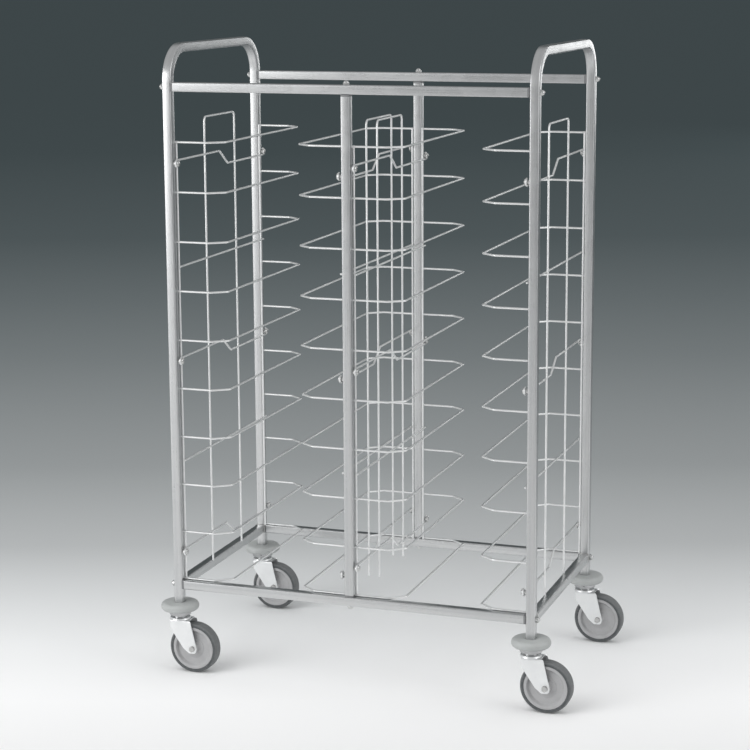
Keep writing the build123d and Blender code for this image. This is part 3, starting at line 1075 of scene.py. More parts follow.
def wire_recipe(bend_steps: int = 7, sides: int = 20) -> NodeRecipe:
    """Plan a round wire along a path with bent corners, repeated at equal steps.

    Args:
        bend_steps: straight steps in each bend.
        sides: flat sides round the wire.

    Returns:
        The recipe. The carrier mesh holds the path as edges.
    """
    recipe = NodeRecipe(
        "bent_wire",
        [
            ("Wire Diameter", "NodeSocketFloat"),
            ("Bend Radius", "NodeSocketFloat"),
            ("Copies", "NodeSocketInt"),
            ("Step", "NodeSocketVector"),
            ("Finish", "NodeSocketMaterial"),
        ],
    )
    path = recipe.node("GeometryNodeMeshToCurve")
    bend = recipe.node("GeometryNodeFilletCurve", mode="POLY")
    bend.inputs["Count"].default_value = bend_steps
    bend.inputs["Limit Radius"].default_value = True
    half = recipe.node("ShaderNodeMath", operation="MULTIPLY")
    half.inputs[1].default_value = 0.5
    circle = recipe.node("GeometryNodeCurvePrimitiveCircle", mode="RADIUS")
    circle.inputs["Resolution"].default_value = sides
    skin = recipe.node("GeometryNodeCurveToMesh")
    skin.inputs["Fill Caps"].default_value = True
    row = recipe.node("GeometryNodeMeshLine", mode="OFFSET", count_mode="TOTAL")
    copies = recipe.node("GeometryNodeInstanceOnPoints")
    recipe.link(recipe.given("Geometry"), path.inputs["Mesh"])
    recipe.link(path.outputs["Curve"], bend.inputs["Curve"])
    recipe.link(recipe.given("Bend Radius"), bend.inputs["Radius"])
    recipe.link(recipe.given("Wire Diameter"), half.inputs[0])
    recipe.link(half.outputs["Value"], circle.inputs["Radius"])
    recipe.link(bend.outputs["Curve"], skin.inputs["Curve"])
    recipe.link(circle.outputs["Curve"], skin.inputs["Profile Curve"])
    recipe.link(recipe.given("Copies"), row.inputs["Count"])
    recipe.link(recipe.given("Step"), row.inputs["Offset"])
    recipe.link(row.outputs["Mesh"], copies.inputs["Points"])
    recipe.link(skin.outputs["Mesh"], copies.inputs["Instance"])
    recipe.close(copies.outputs["Instances"])
    return recipe


def stamp_recipe() -> NodeRecipe:
    """Plan one part repeated at the carrier's points, each turned by the point's own angles.

    Returns:
        The recipe. The carrier mesh holds the points and their "turn".
    """
    recipe = NodeRecipe(
        "stamped_parts", [("Part", "NodeSocketObject"), ("Finish", "NodeSocketMaterial")]
    )
    part = recipe.node("GeometryNodeObjectInfo", transform_space="ORIGINAL")
    turn = recipe.node("GeometryNodeInputNamedAttribute", data_type="FLOAT_VECTOR")
    turn.inputs["Name"].default_value = "turn"
    rotation = recipe.node("FunctionNodeEulerToRotation")
    copies = recipe.node("GeometryNodeInstanceOnPoints")
    recipe.link(recipe.given("Part"), part.inputs["Object"])
    recipe.link(turn.outputs["Attribute"], rotation.inputs["Euler"])
    recipe.link(recipe.given("Geometry"), copies.inputs["Points"])
    recipe.link(part.outputs["Geometry"], copies.inputs["Instance"])
    recipe.link(rotation.outputs["Rotation"], copies.inputs["Rotation"])
    recipe.close(copies.outputs["Instances"])
    return recipe


class Workshop:
    """The finishes and the Geometry Nodes recipes that the sub-assemblies share."""

    def __init__(self) -> None:
        """Make the finishes and the recipes."""
        self.finishes = Finishes()
        self.wires = wire_recipe()
        self.stamps = stamp_recipe()

    def bend_wire(
        self,
        name: str,
        paths: Sequence[Sequence[Sequence[float]]],
        diameter: float,
        bend: float,
        copies: int = 1,
        step: Sequence[float] = (0, 0, 0),
        looped: bool = False,
        finish: bpy.types.Material | None = None,
    ) -> bpy.types.Mesh:
        """Bend wires along paths and repeat them.

        Args:
            name: name of the mesh.
            paths: the corner points of each wire.
            diameter: wire diameter.
            bend: radius of the bends, on the centre line.
            copies: how many times the wires are repeated.
            step: offset from one copy to the next.
            looped: each path is closed.
            finish: the material; the wire finish if left out.

        Returns:
            The mesh of all copies.
        """
        points: list[Point3] = []
        edges: list[tuple[int, int]] = []
        for path in paths:
            first = len(points)
            points.extend(tuple(p) for p in path)
            edges.extend((n, n + 1) for n in range(first, len(points) - 1))
            if looped:
                edges.append((len(points) - 1, first))
        carrier = bpy.data.meshes.new(f"{name}_path")
        carrier.from_pydata(points, edges, [])
        values = {
            "Wire Diameter": float(diameter),
            "Bend Radius": float(bend),
            "Copies": copies,
            "Step": tuple(float(v) for v in step),
            "Finish": finish or self.finishes.wire,
        }
        return self.wires.run(name, carrier, values)

    def stamp(
        self,
        name: str,
        part: Shape,
        places: Sequence[Matrix],
        finish: bpy.types.Material,
        crease: float = CREASE,
    ) -> bpy.types.Mesh:
        """Repeat one part at several places.

        Args:
            name: name of the mesh.
            part: the part about its own origin.
            places: where the copies go.
            finish: their material.
            crease: edges sharper than this many degrees stay sharp.

        Returns:
            The mesh of all copies.
        """
        carrier = bpy.data.meshes.new(f"{name}_points")
        carrier.from_pydata([tuple(m.translation) for m in places], [], [])
        turns = carrier.attributes.new("turn", "FLOAT_VECTOR", "POINT")
        for n, m in enumerate(places):
            turns.data[n].vector = m.to_euler("XYZ")
        source = bpy.data.objects.new(f"{name}_part", part.mesh(f"{name}_part", crease))
        bpy.context.scene.collection.objects.link(source)
        made = self.stamps.run(name, carrier, {"Part": source, "Finish": finish}, crease)
        bpy.data.objects.remove(source)
        return made


# Sub-assemblies


@dataclass
class Places:
    """Reference places of the trolley, read from the frame."""

    tube: float = 22 * MM
    left: float = field(init=False)
    right: float = field(init=False)
    middle: float = field(init=False)
    front: float = field(init=False)
    rear: float = field(init=False)
    foot: float = field(init=False)
    top: float = field(init=False)
    top_rail: float = field(init=False)
    bottom_rail: float = field(init=False)

    def __post_init__(self) -> None:
        """Read the posts, rails and heights from the frame nodes."""
        low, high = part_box("end_tube_left")
        self.left = (low.x + high.x) / 2
        self.foot, self.top = low.z, high.z
        self.front, self.rear = low.y + self.tube / 2, high.y - self.tube / 2
        low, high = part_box("end_tube_right")
        self.right = (low.x + high.x) / 2
        self.middle = (self.left + self.right) / 2
        low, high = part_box("top_rail_front")
        self.top_rail = (low.z + high.z) / 2
        low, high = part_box("bottom_rail_front")
        self.bottom_rail = (low.z + high.z) / 2


@dataclass
class TubeFrame:
    """Square-tube frame: bent end tubes, rails and middle posts."""

    places: Places
    shop: Workshop
    corner_radius: float = 3 * MM
    corner_steps: int = 6
    bend_radius: float = 80 * MM
    bend_steps: int = 28
    flange: float = 5 * MM
    bead: float = 2.6 * MM
    bead_stand_off: float = 0.4

    def section(self) -> list[Point2]:
        """Outer outline of the tube."""
        return rounded_square(self.places.tube, self.corner_radius, self.corner_steps)

    def show_straight(self, name: str, start: Sequence[float], end: Sequence[float]) -> None:
        """Show one straight tube.

        Args:
            name: name of the frame node that it stands for.
            start: middle of its first end.
            end: middle of its other end.
        """
        shape = Shape()
        axis = Vector(end) - Vector(start)
        stations = [place_on(start, axis), place_on(end, axis)]
        shape.run_section(self.section(), stations)
        finish = self.shop.finishes.tube
        show(f"{name}_skin", shape.mesh(name), finish, "frame", [name])

    def end_stations(self, x: float) -> list[Matrix]:
        """Places of the tube's section along a leg, the handle and the other leg.

        Args:
            x: place of the end tube.

        Returns:
            The places, from the front foot to the rear foot.
        """
        p, radius = self.places, self.bend_radius
        bend_z = p.top - p.tube / 2 - radius
        stops: list[Point3] = [(p.front, p.foot, 0.0)]
        for centre, first in ((p.front + radius, 0.0), (p.rear - radius, math.pi / 2)):
            for n in range(self.bend_steps + 1):
                angle = first + math.pi / 2 * n / self.bend_steps
                y = centre - radius * math.cos(angle)
                stops.append((y, bend_z + radius * math.sin(angle), angle))
        stops.append((p.rear, p.foot, math.pi))
        stations = []
        for y, z, angle in stops:
            turn = Matrix.Rotation(-angle, 4, "X")
            stations.append(Matrix.Translation((x, y, z)) @ turn)
        return stations

    def show_ends(self) -> None:
        """Show the two bent end tubes and their side rails with weld beads."""
        p = self.places
        half = p.tube / 2
        finish = self.shop.finishes.tube
        for side, x in (("left", p.left), ("right", p.right)):
            name = f"end_tube_{side}"
            shape = Shape()
            shape.run_section(self.section(), self.end_stations(x))
            show(f"{name}_skin", shape.mesh(name), finish, "frame", [name])
            front, rear = p.front + half, p.rear - half
            start, end = (x, front, p.bottom_rail), (x, rear, p.bottom_rail)
            self.show_straight(f"side_rail_{side}", start, end)
            loops = []
            stand_off = self.bead_stand_off * self.bead
            for y in (front + stand_off, rear - stand_off):
                loops.append([(x + a, y, p.bottom_rail + b) for a, b in self.section()])
            weld = self.shop.finishes.weld
            bead = self.shop.bend_wire(
                f"side_rail_welds_{side}", loops, self.bead, 0.0, looped=True, finish=weld
            )
            show(bead.name, bead, weld, "frame")

    def show_rails(self) -> None:
        """Show the front and rear rails, top and bottom."""
        p = self.places
        start = p.left + p.tube / 2 + self.flange
        end = p.right - p.tube / 2 - self.flange
        for end_name, y in (("front", p.front), ("rear", p.rear)):
            for level, z in (("top", p.top_rail), ("bottom", p.bottom_rail)):
                self.show_straight(f"{level}_rail_{end_name}", (start, y, z), (end, y, z))

    def show_posts(self) -> None:
        """Show the middle posts between the rails."""
        p = self.places
        low = p.bottom_rail + p.tube / 2 + self.flange
        high = p.top_rail - p.tube / 2 - self.flange
        for end_name, y in (("front", p.front), ("rear", p.rear)):
            bottom, top = (p.middle, y, low), (p.middle, y, high)
            self.show_straight(f"middle_post_{end_name}", bottom, top)

    def build(self) -> None:
        """Show the whole frame."""
        self.show_ends()
        self.show_rails()
        self.show_posts()


@dataclass
class TubeJoints:
    """Flanged plugs and domed cap nuts at the ends of the rails and middle posts."""

    places: Places
    shop: Workshop
    flange: float = 5 * MM
    flange_corner: float = 3 * MM
    ease_depth: float = 0.35 * MM
    ease_width: float = 0.6 * MM
    body: float = 18.6 * MM
    body_corner: float = 1.2 * MM
    body_depth: float = 25 * MM
    nut_across: float = 13 * MM
    nut_hex: float = 5.5 * MM
    nut_height: float = 10.5 * MM
    dome_steps: int = 12

    def joints(self) -> list[Matrix]:
        """Find the tube joints.

        Returns:
            The place of each: the plug's outer face, with Z out of the closed tube.
        """
        p = self.places
        half = p.tube / 2
        found = []
        for y in (p.front, p.rear):
            for z in (p.top_rail, p.bottom_rail):
                found.append(place_on((p.left + half, y, z), (-1, 0, 0)))
                found.append(place_on((p.right - half, y, z), (1, 0, 0)))
            found.append(place_on((p.middle, y, p.top_rail - half), (0, 0, 1)))
            found.append(place_on((p.middle, y, p.bottom_rail + half), (0, 0, -1)))
        return found

    def plug(self) -> Shape:
        """Flange with eased edges, and the body inside the tube.

        Returns:
            The plug about its joint.
        """
        shape = Shape()
        size, ease, width = self.places.tube, self.ease_depth, self.ease_width
        rings = []
        for depth, inset in (
            (0.0, width),
            (-ease, 0.0),
            (-self.flange + ease, 0.0),
            (-self.flange, width),
        ):
            outline = rounded_square(size - inset, self.flange_corner - inset / 2)
            rings.append([Vector((x, y, depth)) for x, y in outline])
        shape.join_rings(rings)
        outline = rounded_square(self.body, self.body_corner, 3)
        start = Matrix.Translation((0, 0, -self.flange - self.body_depth))
        shape.run_section(outline, [start, Matrix.Translation((0, 0, -self.flange + ease))])
        return shape

    def cap_nut(self) -> Shape:
        """Hexagon with turned corners, a washer face and a dome.

        Returns:
            The nut about its joint, on the far side of the tube.
        """
        shape = Shape()
        tube = self.places.tube
        wide = self.nut_across / 2 / math.cos(math.pi / 6)
        levels = (
            (tube, wide - 0.7 * MM),
            (tube + 0.5 * MM, wide),
            (tube + self.nut_hex - 0.8 * MM, wide),
            (tube + self.nut_hex, self.nut_across / 2 - 0.1 * MM),
        )
        shape.turn_hexagon(self.nut_across, levels, Matrix.Identity(4))
        rise = self.nut_height - self.nut_hex
        edge = self.nut_across / 2 - 0.35 * MM
        profile = [(edge, tube + self.nut_hex - 0.5 * MM)]
        for n in range(self.dome_steps):
            angle = math.pi / 2 * n / self.dome_steps
            profile.append((edge * math.cos(angle), tube + self.nut_hex + rise * math.sin(angle)))
        profile.append((0.0, tube + self.nut_height))
        shape.turn_profile(profile, Matrix.Identity(4), 48)
        return shape

    def build(self) -> None:
        """Show the plugs and the cap nuts."""
        finishes, joints = self.shop.finishes, self.joints()
        plugs = self.shop.stamp("tube_plug_set", self.plug(), joints, finishes.plug)
        show(plugs.name, plugs, finishes.plug, "frame", ["tube_plugs"])
        nuts = self.shop.stamp("cap_nut_set", self.cap_nut(), joints, finishes.nut)
        show(nuts.name, nuts, finishes.nut, "frame", ["frame_cap_nuts"])


@dataclass
class WireRack:
    """One welded wire rack: tray supports, uprights and cross bars.

    Its own X runs from the face of its post into the bay. A rack that faces
    left is turned half round. Kinked and straight bars take turns, each
    levels_between_bars under the last.
    """

    name: str
    face_x: float
    facing: Facing
    places: Places
    shop: Workshop
    wire: float = 5 * MM
    gap: float = 0.1 * MM
    weld_gap: float = 0.05 * MM
    levels: int = 10
    levels_between_bars: int = 2
    kinked_bars: int = 3
    pitch: float = 120 * MM
    reach: float = 120 * MM
    corner_x: float = 36 * MM
    corner_y: float = 27 * MM
    corner_bend: float = 9 * MM
    upright_y: float = 93 * MM
    upright_bend: float = 12 * MM
    bar_rise: float = 17.3 * MM
    kink_middle: float = 10 * MM
    kink_run: float = 50 * MM
    hook_radius: float = 7.9 * MM
    bar_overhang: float = 5 * MM
    spot: float = 3.4 * MM
    spot_steps: int = 6
    spot_segments: int = 10
    spots: list[Vector] = field(default_factory=list)
    outer_y: float = field(init=False)
    upright_x: float = field(init=False)
    bar_x: float = field(init=False)
    leg_y: float = field(init=False)
    lowest: float = field(init=False)
    highest: float = field(init=False)

    def __post_init__(self) -> None:
        """Work out the planes that the wires lie in."""
        low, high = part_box(f"{self.name}_uprights")
        self.outer_y = high.y - self.wire / 2
        self.upright_x = self.wire / 2 + self.gap
        self.bar_x = self.upright_x + self.wire + self.weld_gap
        self.leg_y = self.outer_y + self.wire + self.weld_gap
        low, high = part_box(f"{self.name}_tray_supports")
        self.lowest = low.z + self.wire / 2
        self.highest = high.z - self.wire / 2

    def world(self, x: float, y: float, z: float) -> Vector:
        """Point of the rack in the trolley's frame; a rack that faces left is turned round."""
        side = self.facing.value
        return Vector((self.face_x + side * x, side * y, z))

    def show_supports(self) -> None:
        """Show the tray support wires, all levels."""
        leg, corner = self.leg_y, self.leg_y - self.corner_y
        bend_x = self.reach - self.corner_x
        flat = [
            (self.gap, -leg),
            (bend_x, -leg),
            (self.reach, -corner),
            (self.reach, corner),
            (bend_x, leg),
            (self.gap, leg),
        ]
        path = [self.world(x, y, self.lowest) for x, y in flat]
        mesh = self.shop.bend_wire(
            f"{self.name}_tray_wires",
            [path],
            self.wire,
            self.corner_bend,
            self.levels,
            (0, 0, self.pitch),
        )
        node = f"{self.name}_tray_supports"
        show(mesh.name, mesh, self.shop.finishes.wire, "frame", [node])
        for level in range(self.levels):
            height = self.lowest + level * self.pitch
            for side in (-1, 1):
                middle = side * (self.outer_y + self.leg_y) / 2
                self.spots.append(self.world(self.upright_x, middle, height))

    def show_uprights(self) -> None:
        """Show the outer uprights and the inner one bent to an inverted U."""
        low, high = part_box(f"{self.name}_uprights")
        foot, top = low.z, self.highest + self.wire / 2
        x = self.upright_x
        sides = (-self.outer_y, self.outer_y)
        outer = [[self.world(x, y, foot), self.world(x, y, top)] for y in sides]
        crest = high.z - self.wire / 2
        corners = (
            (-self.upright_y, foot),
            (-self.upright_y, crest),
            (self.upright_y, crest),
            (self.upright_y, foot),
        )
        inner = [self.world(x, y, z) for y, z in corners]
        mesh = self.shop.bend_wire(
            f"{self.name}_upright_wires", [*outer, inner], self.wire, self.upright_bend
        )
        node = f"{self.name}_uprights"
        show(mesh.name, mesh, self.shop.finishes.wire, "frame", [node])

    def show_bars(self) -> None:
        """Show the kinked bars with their hooks and the straight bars."""
        x, rise, hook = self.bar_x, self.bar_rise, self.hook_radius
        post = self.places.rear
        screw = rise - hook
        middle = self.lowest + self.pitch / 2
        corners = (
            (-post, screw - hook),
            (-post - hook, screw - hook),
            (-post - hook, rise),
            (self.kink_middle - self.kink_run / 2, rise),
            (self.kink_middle + self.kink_run / 2, -rise),
            (post + hook, -rise),
            (post + hook, hook - screw),
            (post, hook - screw),
        )
        path = [self.world(x, y, middle + z) for y, z in corners]
        kinked, straight = self.kinked_bars, self.kinked_bars - 1
        step = (0, 0, 2 * self.levels_between_bars * self.pitch)
        mesh = self.shop.bend_wire(
            f"{self.name}_kinked_bars", [path], self.wire, hook, kinked, step
        )
        node = f"{self.name}_bars"
        show(mesh.name, mesh, self.shop.finishes.wire, "frame", [node])
        end = self.outer_y + self.bar_overhang
        height = middle + self.levels_between_bars * self.pitch
        path = [self.world(x, -end, height), self.world(x, end, height)]
        mesh = self.shop.bend_wire(
            f"{self.name}_straight_bars", [path], self.wire, 0.0, straight, step
        )
        show(mesh.name, mesh, self.shop.finishes.wire, "frame")
        between = (self.upright_x + self.bar_x) / 2
        for n in range(kinked + straight):
            height = middle + self.levels_between_bars * n * self.pitch
            for y in (-self.outer_y, -self.upright_y, self.upright_y, self.outer_y):
                offset = 0.0 if n % 2 else (rise if y < 0 else -rise)
                self.spots.append(self.world(between, y, height + offset))

    def show_welds(self) -> None:
        """Show a small round weld spot wherever two wires cross."""
        spot = Shape()
        radius = self.spot / 2
        profile = [(0.0, -radius)]
        for n in range(1, self.spot_steps):
            angle = math.pi * n / self.spot_steps - math.pi / 2
            profile.append((radius * math.cos(angle), radius * math.sin(angle)))
        profile.append((0.0, radius))
        spot.turn_profile(profile, Matrix.Identity(4), self.spot_segments)
        places = [Matrix.Translation(p) for p in self.spots]
        weld = self.shop.finishes.weld
        mesh = self.shop.stamp(f"{self.name}_weld_spots", spot, places, weld, 60.0)
        show(mesh.name, mesh, weld, "frame")

    def build(self) -> None:
        """Show the whole rack."""
        self.show_supports()
        self.show_uprights()
        self.show_bars()
        self.show_welds()


@dataclass
class RackScrews:
    """Domed shoulder screws that the racks hang on."""

    racks: Sequence[WireRack]
    shop: Workshop
    shoulder: float = 10 * MM
    head: float = 16 * MM
    head_rise: float = 4.5 * MM
    rim: float = 0.7 * MM
    off_post: float = 0.1 * MM
    ease_width: float = 0.4 * MM
    ease_depth: float = 0.3 * MM
    dome_steps: int = 10
    segments: int = 40

    def screw(self, head_start: float) -> Shape:
        """Shoulder and domed head along the local Z axis, from the post's face.

        Args:
            head_start: height of the head's underside.

        Returns:
            The screw.
        """
        shape = Shape()
        radius, shoulder = self.head / 2, self.shoulder / 2
        profile = [
            (0.0, self.off_post),
            (shoulder, self.off_post),
            (shoulder, head_start),
            (radius - self.ease_width, head_start),
            (radius, head_start + self.ease_depth),
        ]
        rise = self.head_rise - self.rim
        for n in range(self.dome_steps):
            angle = math.pi / 2 * n / self.dome_steps
            profile.append(
                (radius * math.cos(angle), head_start + self.rim + rise * math.sin(angle))
            )
        profile.append((0.0, head_start + self.head_rise))
        shape.turn_profile(profile, Matrix.Identity(4), self.segments)
        return shape

    def build(self) -> None:
        """Show all screws as one set."""
        places = []
        for rack in self.racks:
            screw = rack.bar_rise - rack.hook_radius
            post = rack.places.rear
            middle = rack.lowest + rack.pitch / 2
            for n in range(rack.kinked_bars):
                height = middle + 2 * rack.levels_between_bars * n * rack.pitch
                for y, z in ((-post, screw), (post, -screw)):
                    spot = rack.world(0, y, height + z)
                    places.append(place_on(spot, (rack.facing.value, 0, 0)))
        first = self.racks[0]
        head_start = first.bar_x + first.wire / 2 + first.gap
        finish = self.shop.finishes.screw
        mesh = self.shop.stamp("rack_screw_set", self.screw(head_start), places, finish)
        show(mesh.name, mesh, finish, "frame", ["rack_screws"])


@dataclass
class Castor:
    """One swivel castor's moving pieces: fork, axle, wheel core and tyre."""

    corner: str
    post_x: float
    post_y: float
    shop: Workshop
    trail: float = 39 * MM
    wheel_radius: float = 62.5 * MM
    tread: float = 9.5 * MM
    wheel_width: float = 32 * MM
    crown_top: float = 134 * MM
    sheet: float = 2.5 * MM
    fork_gap: float = 37 * MM
    fork_lead: float = 19 * MM
    fork_reach: float = 34 * MM
    foot_radius: float = 12 * MM
    shoulder_bend: float = 5 * MM
    brow: float = 22 * MM
    race_radius: float = 24.5 * MM
    race_height: float = 3.8 * MM
    race_sink: float = 0.5 * MM
    race_flare: float = 1.5 * MM
    head_across: float = 13 * MM
    head_height: float = 5.3 * MM
    nut_height: float = 8 * MM
    bolt_radius: float = 4 * MM
    bolt_end: float = 1 * MM
    washer_bore: float = 3.9 * MM
    washer_radius: float = 7.4 * MM
    washer_height: float = 1.2 * MM
    washer_ease: float = 0.2 * MM
    hub_half: float = 17.9 * MM
    web_half: float = 8.5 * MM
    rim_half: float = 15 * MM
    tyre_gap: float = 0.05 * MM
    tyre_edge: float = 6 * MM
    leg_steps: int = 18
    bend_steps: int = 6
    columns: int = 6

    def local(self, x: float, y: float, z: float) -> Vector:
        """Point measured from the swivel axis at floor level."""
        return Vector((self.post_x + x, self.post_y + y, z))

    def fork_outline(self) -> list[Point2]:
        """Side outline of the fork's legs.

        Returns:
            The outline, in X and Z from the swivel axis.
        """
        axle, foot, top = self.wheel_radius, self.foot_radius, self.crown_top
        return rounded(
            [
                (-self.fork_lead, top, 3 * MM),
                (self.fork_reach, top, 6 * MM),
                (self.trail + foot, axle, 9 * MM),
                (self.trail + foot * 0.75, axle - foot, 7 * MM),
                (self.trail - foot * 0.75, axle - foot, 7 * MM),
                (self.trail - 2 * foot, axle, 16 * MM),
                (-self.fork_lead, top - self.brow, 14 * MM),
            ],
            8,
        )

    def sheet_stations(self, offset: float) -> list[Point3]:
        """Places along the fork's cross-section, from one leg's foot over the crown to the other.

        Args:
            offset: depth under the outer face of the sheet.

        Returns:
            (y, z, height used for the outline) of each station.
        """
        outer, bend = self.fork_gap / 2 + self.sheet, self.shoulder_bend
        foot = self.wheel_radius - self.foot_radius
        centre_z = self.crown_top - bend
        rises = (0.0, 0.3, 0.8, 1.6, 2.8, 4.4, 6.5, 9.0, 12.0, 16.0, 21.0, 27.0)
        heights = [foot + rise * MM for rise in rises]
        rest = centre_z - heights[-1]
        steps = self.leg_steps
        heights += [heights[-1] + rest * n / steps for n in range(1, steps + 1)]
        side = [(outer - offset, z, z) for z in heights]
        reach = bend - offset
        for n in range(1, self.bend_steps + 1):
            angle = math.pi / 2 * n / self.bend_steps
            z = centre_z + reach * math.sin(angle)
            outline_z = centre_z + bend * math.sin(angle)
            side.append((outer - bend + reach * math.cos(angle), z, outline_z))
        mirrored = [(-y, z, height) for y, z, height in reversed(side)]
        return side + mirrored

    def show_fork(self) -> None:
        """Show the pressed fork with its bearing race."""
        outline, columns = self.fork_outline(), self.columns
        just_under = self.crown_top - 1e-6
        rings = []
        for outer, inner in zip(self.sheet_stations(0.0), self.sheet_stations(self.sheet)):
            low, high = span_at(outline, min(outer[2], just_under))
            across = [low + (high - low) * n / columns for n in range(columns + 1)]
            ring = [self.local(x, outer[0], outer[1]) for x in across]
            ring += [self.local(x, inner[0], inner[1]) for x in reversed(across)]
            rings.append(ring)
        shape = Shape()
        shape.join_rings(rings)
        radius, top = self.race_radius, self.crown_top
        race = rounded(
            [
                (0.0, top - self.race_sink, 0.0),
                (radius + self.race_flare, top - self.race_sink, 0.0),
                (radius, top + self.race_height, 1.2 * MM),
                (0.0, top + self.race_height, 0.0),
            ],
            4,
            closed=False,
        )
        shape.turn_profile(race, Matrix.Translation(self.local(0, 0, 0)), 56)
        node = f"fork_{self.corner}"
        body = f"castor_{self.corner}"
        finish = self.shop.finishes.zinc
        show(f"{node}_pressing", shape.mesh(node), finish, body, [node])

    def show_axle(self) -> None:
        """Show the axle bolt's head with its washer, and the nut with the bolt's end."""
        face = self.fork_gap / 2 + self.sheet
        wide = self.head_across / 2 / math.cos(math.pi / 6)
        bore, radius, ease = self.washer_bore, self.washer_radius, self.washer_ease
        washer, bolt = self.washer_height, self.bolt_radius
        body = f"castor_{self.corner}"
        finish = self.shop.finishes.bolt
        ends = ((-1, "axle_bolt", self.head_height), (1, "axle_nut", self.nut_height))
        for side, name, height in ends:
            place = place_on(self.local(self.trail, side * face, self.wheel_radius), (0, side, 0))
            shape = Shape()
            ring = [
                (bore, 0.0),
                (radius, 0.0),
                (radius, washer - ease),
                (radius - ease, washer),
                (bore, washer),
            ]
            shape.turn_profile(ring, place, 40, closed=True)
            levels = (
                (washer, wide - 0.5 * MM),
                (washer + 0.4 * MM, wide),
                (height - 0.7 * MM, wide),
                (height, self.head_across / 2 - 0.1 * MM),
            )
            shape.turn_hexagon(self.head_across, levels, place)
            if side > 0:
                end = [
                    (bolt, height - 0.5 * MM),
                    (bolt, height + 0.6 * MM),
                    (bolt - 0.5 * MM, height + self.bolt_end),
                    (0.0, height + self.bolt_end),
                ]
                shape.turn_profile(end, place, 24)
            else:
                shank = bolt - 0.05 * MM
                shape.turn_profile([(shank, -2 * face), (shank, washer)], place, 24)
            node = f"{name}_{self.corner}"
            show(f"{node}_detail", shape.mesh(node), finish, body, [node])

    def show_wheel(self) -> None:
        """Show the recessed wheel core and the tyre round it."""
        core = self.wheel_radius - self.tread
        hub, web, rim = self.hub_half, self.web_half, self.rim_half
        side: list[Corner2] = [
            (6.1 * MM, hub, 0.4 * MM),
            (13.4 * MM, hub, 1.2 * MM),
            (15 * MM, web + 0.6 * MM, 2 * MM),
            (24 * MM, web, 1 * MM),
            (26 * MM, web - 1.2 * MM, 0.8 * MM),
            (core - 11 * MM, web - 1.2 * MM, 2 * MM),
            (core - 7 * MM, rim, 1.4 * MM),
            (core, rim, 0.4 * MM),
        ]
        corners = side + [(r, -y, radius) for r, y, radius in reversed(side)]
        place = place_on(self.local(self.trail, 0, self.wheel_radius), (0, 1, 0))
        body = f"wheel_{self.corner}"
        shape = Shape()
        shape.turn_profile(rounded(corners, 4), place, 96, closed=True)
        node, finish = f"wheel_core_{self.corner}", self.shop.finishes.core
        show(f"{node}_moulding", shape.mesh(node), finish, body, [node])
        half, outer = self.wheel_width / 2, self.wheel_radius
        gap, edge = self.tyre_gap, self.tyre_edge
        section = [
            (core + gap, half - 1 * MM, 0.5 * MM),
            (core + 1.5 * MM, half, 1 * MM),
            (outer, half, edge),
            (outer, -half, edge),
            (core + 1.5 * MM, -half, 1 * MM),
            (core + gap, 1 * MM - half, 0.5 * MM),
        ]
        shape = Shape()
        shape.turn_profile(rounded(section, 9), place, 112, closed=True)
        node, finish = f"tyre_{self.corner}", self.shop.finishes.tyre
        show(f"{node}_moulding", shape.mesh(node, 40.0), finish, body, [node])

    def build(self) -> None:
        """Show the castor's moving pieces."""
        self.show_fork()
        self.show_axle()
        self.show_wheel()


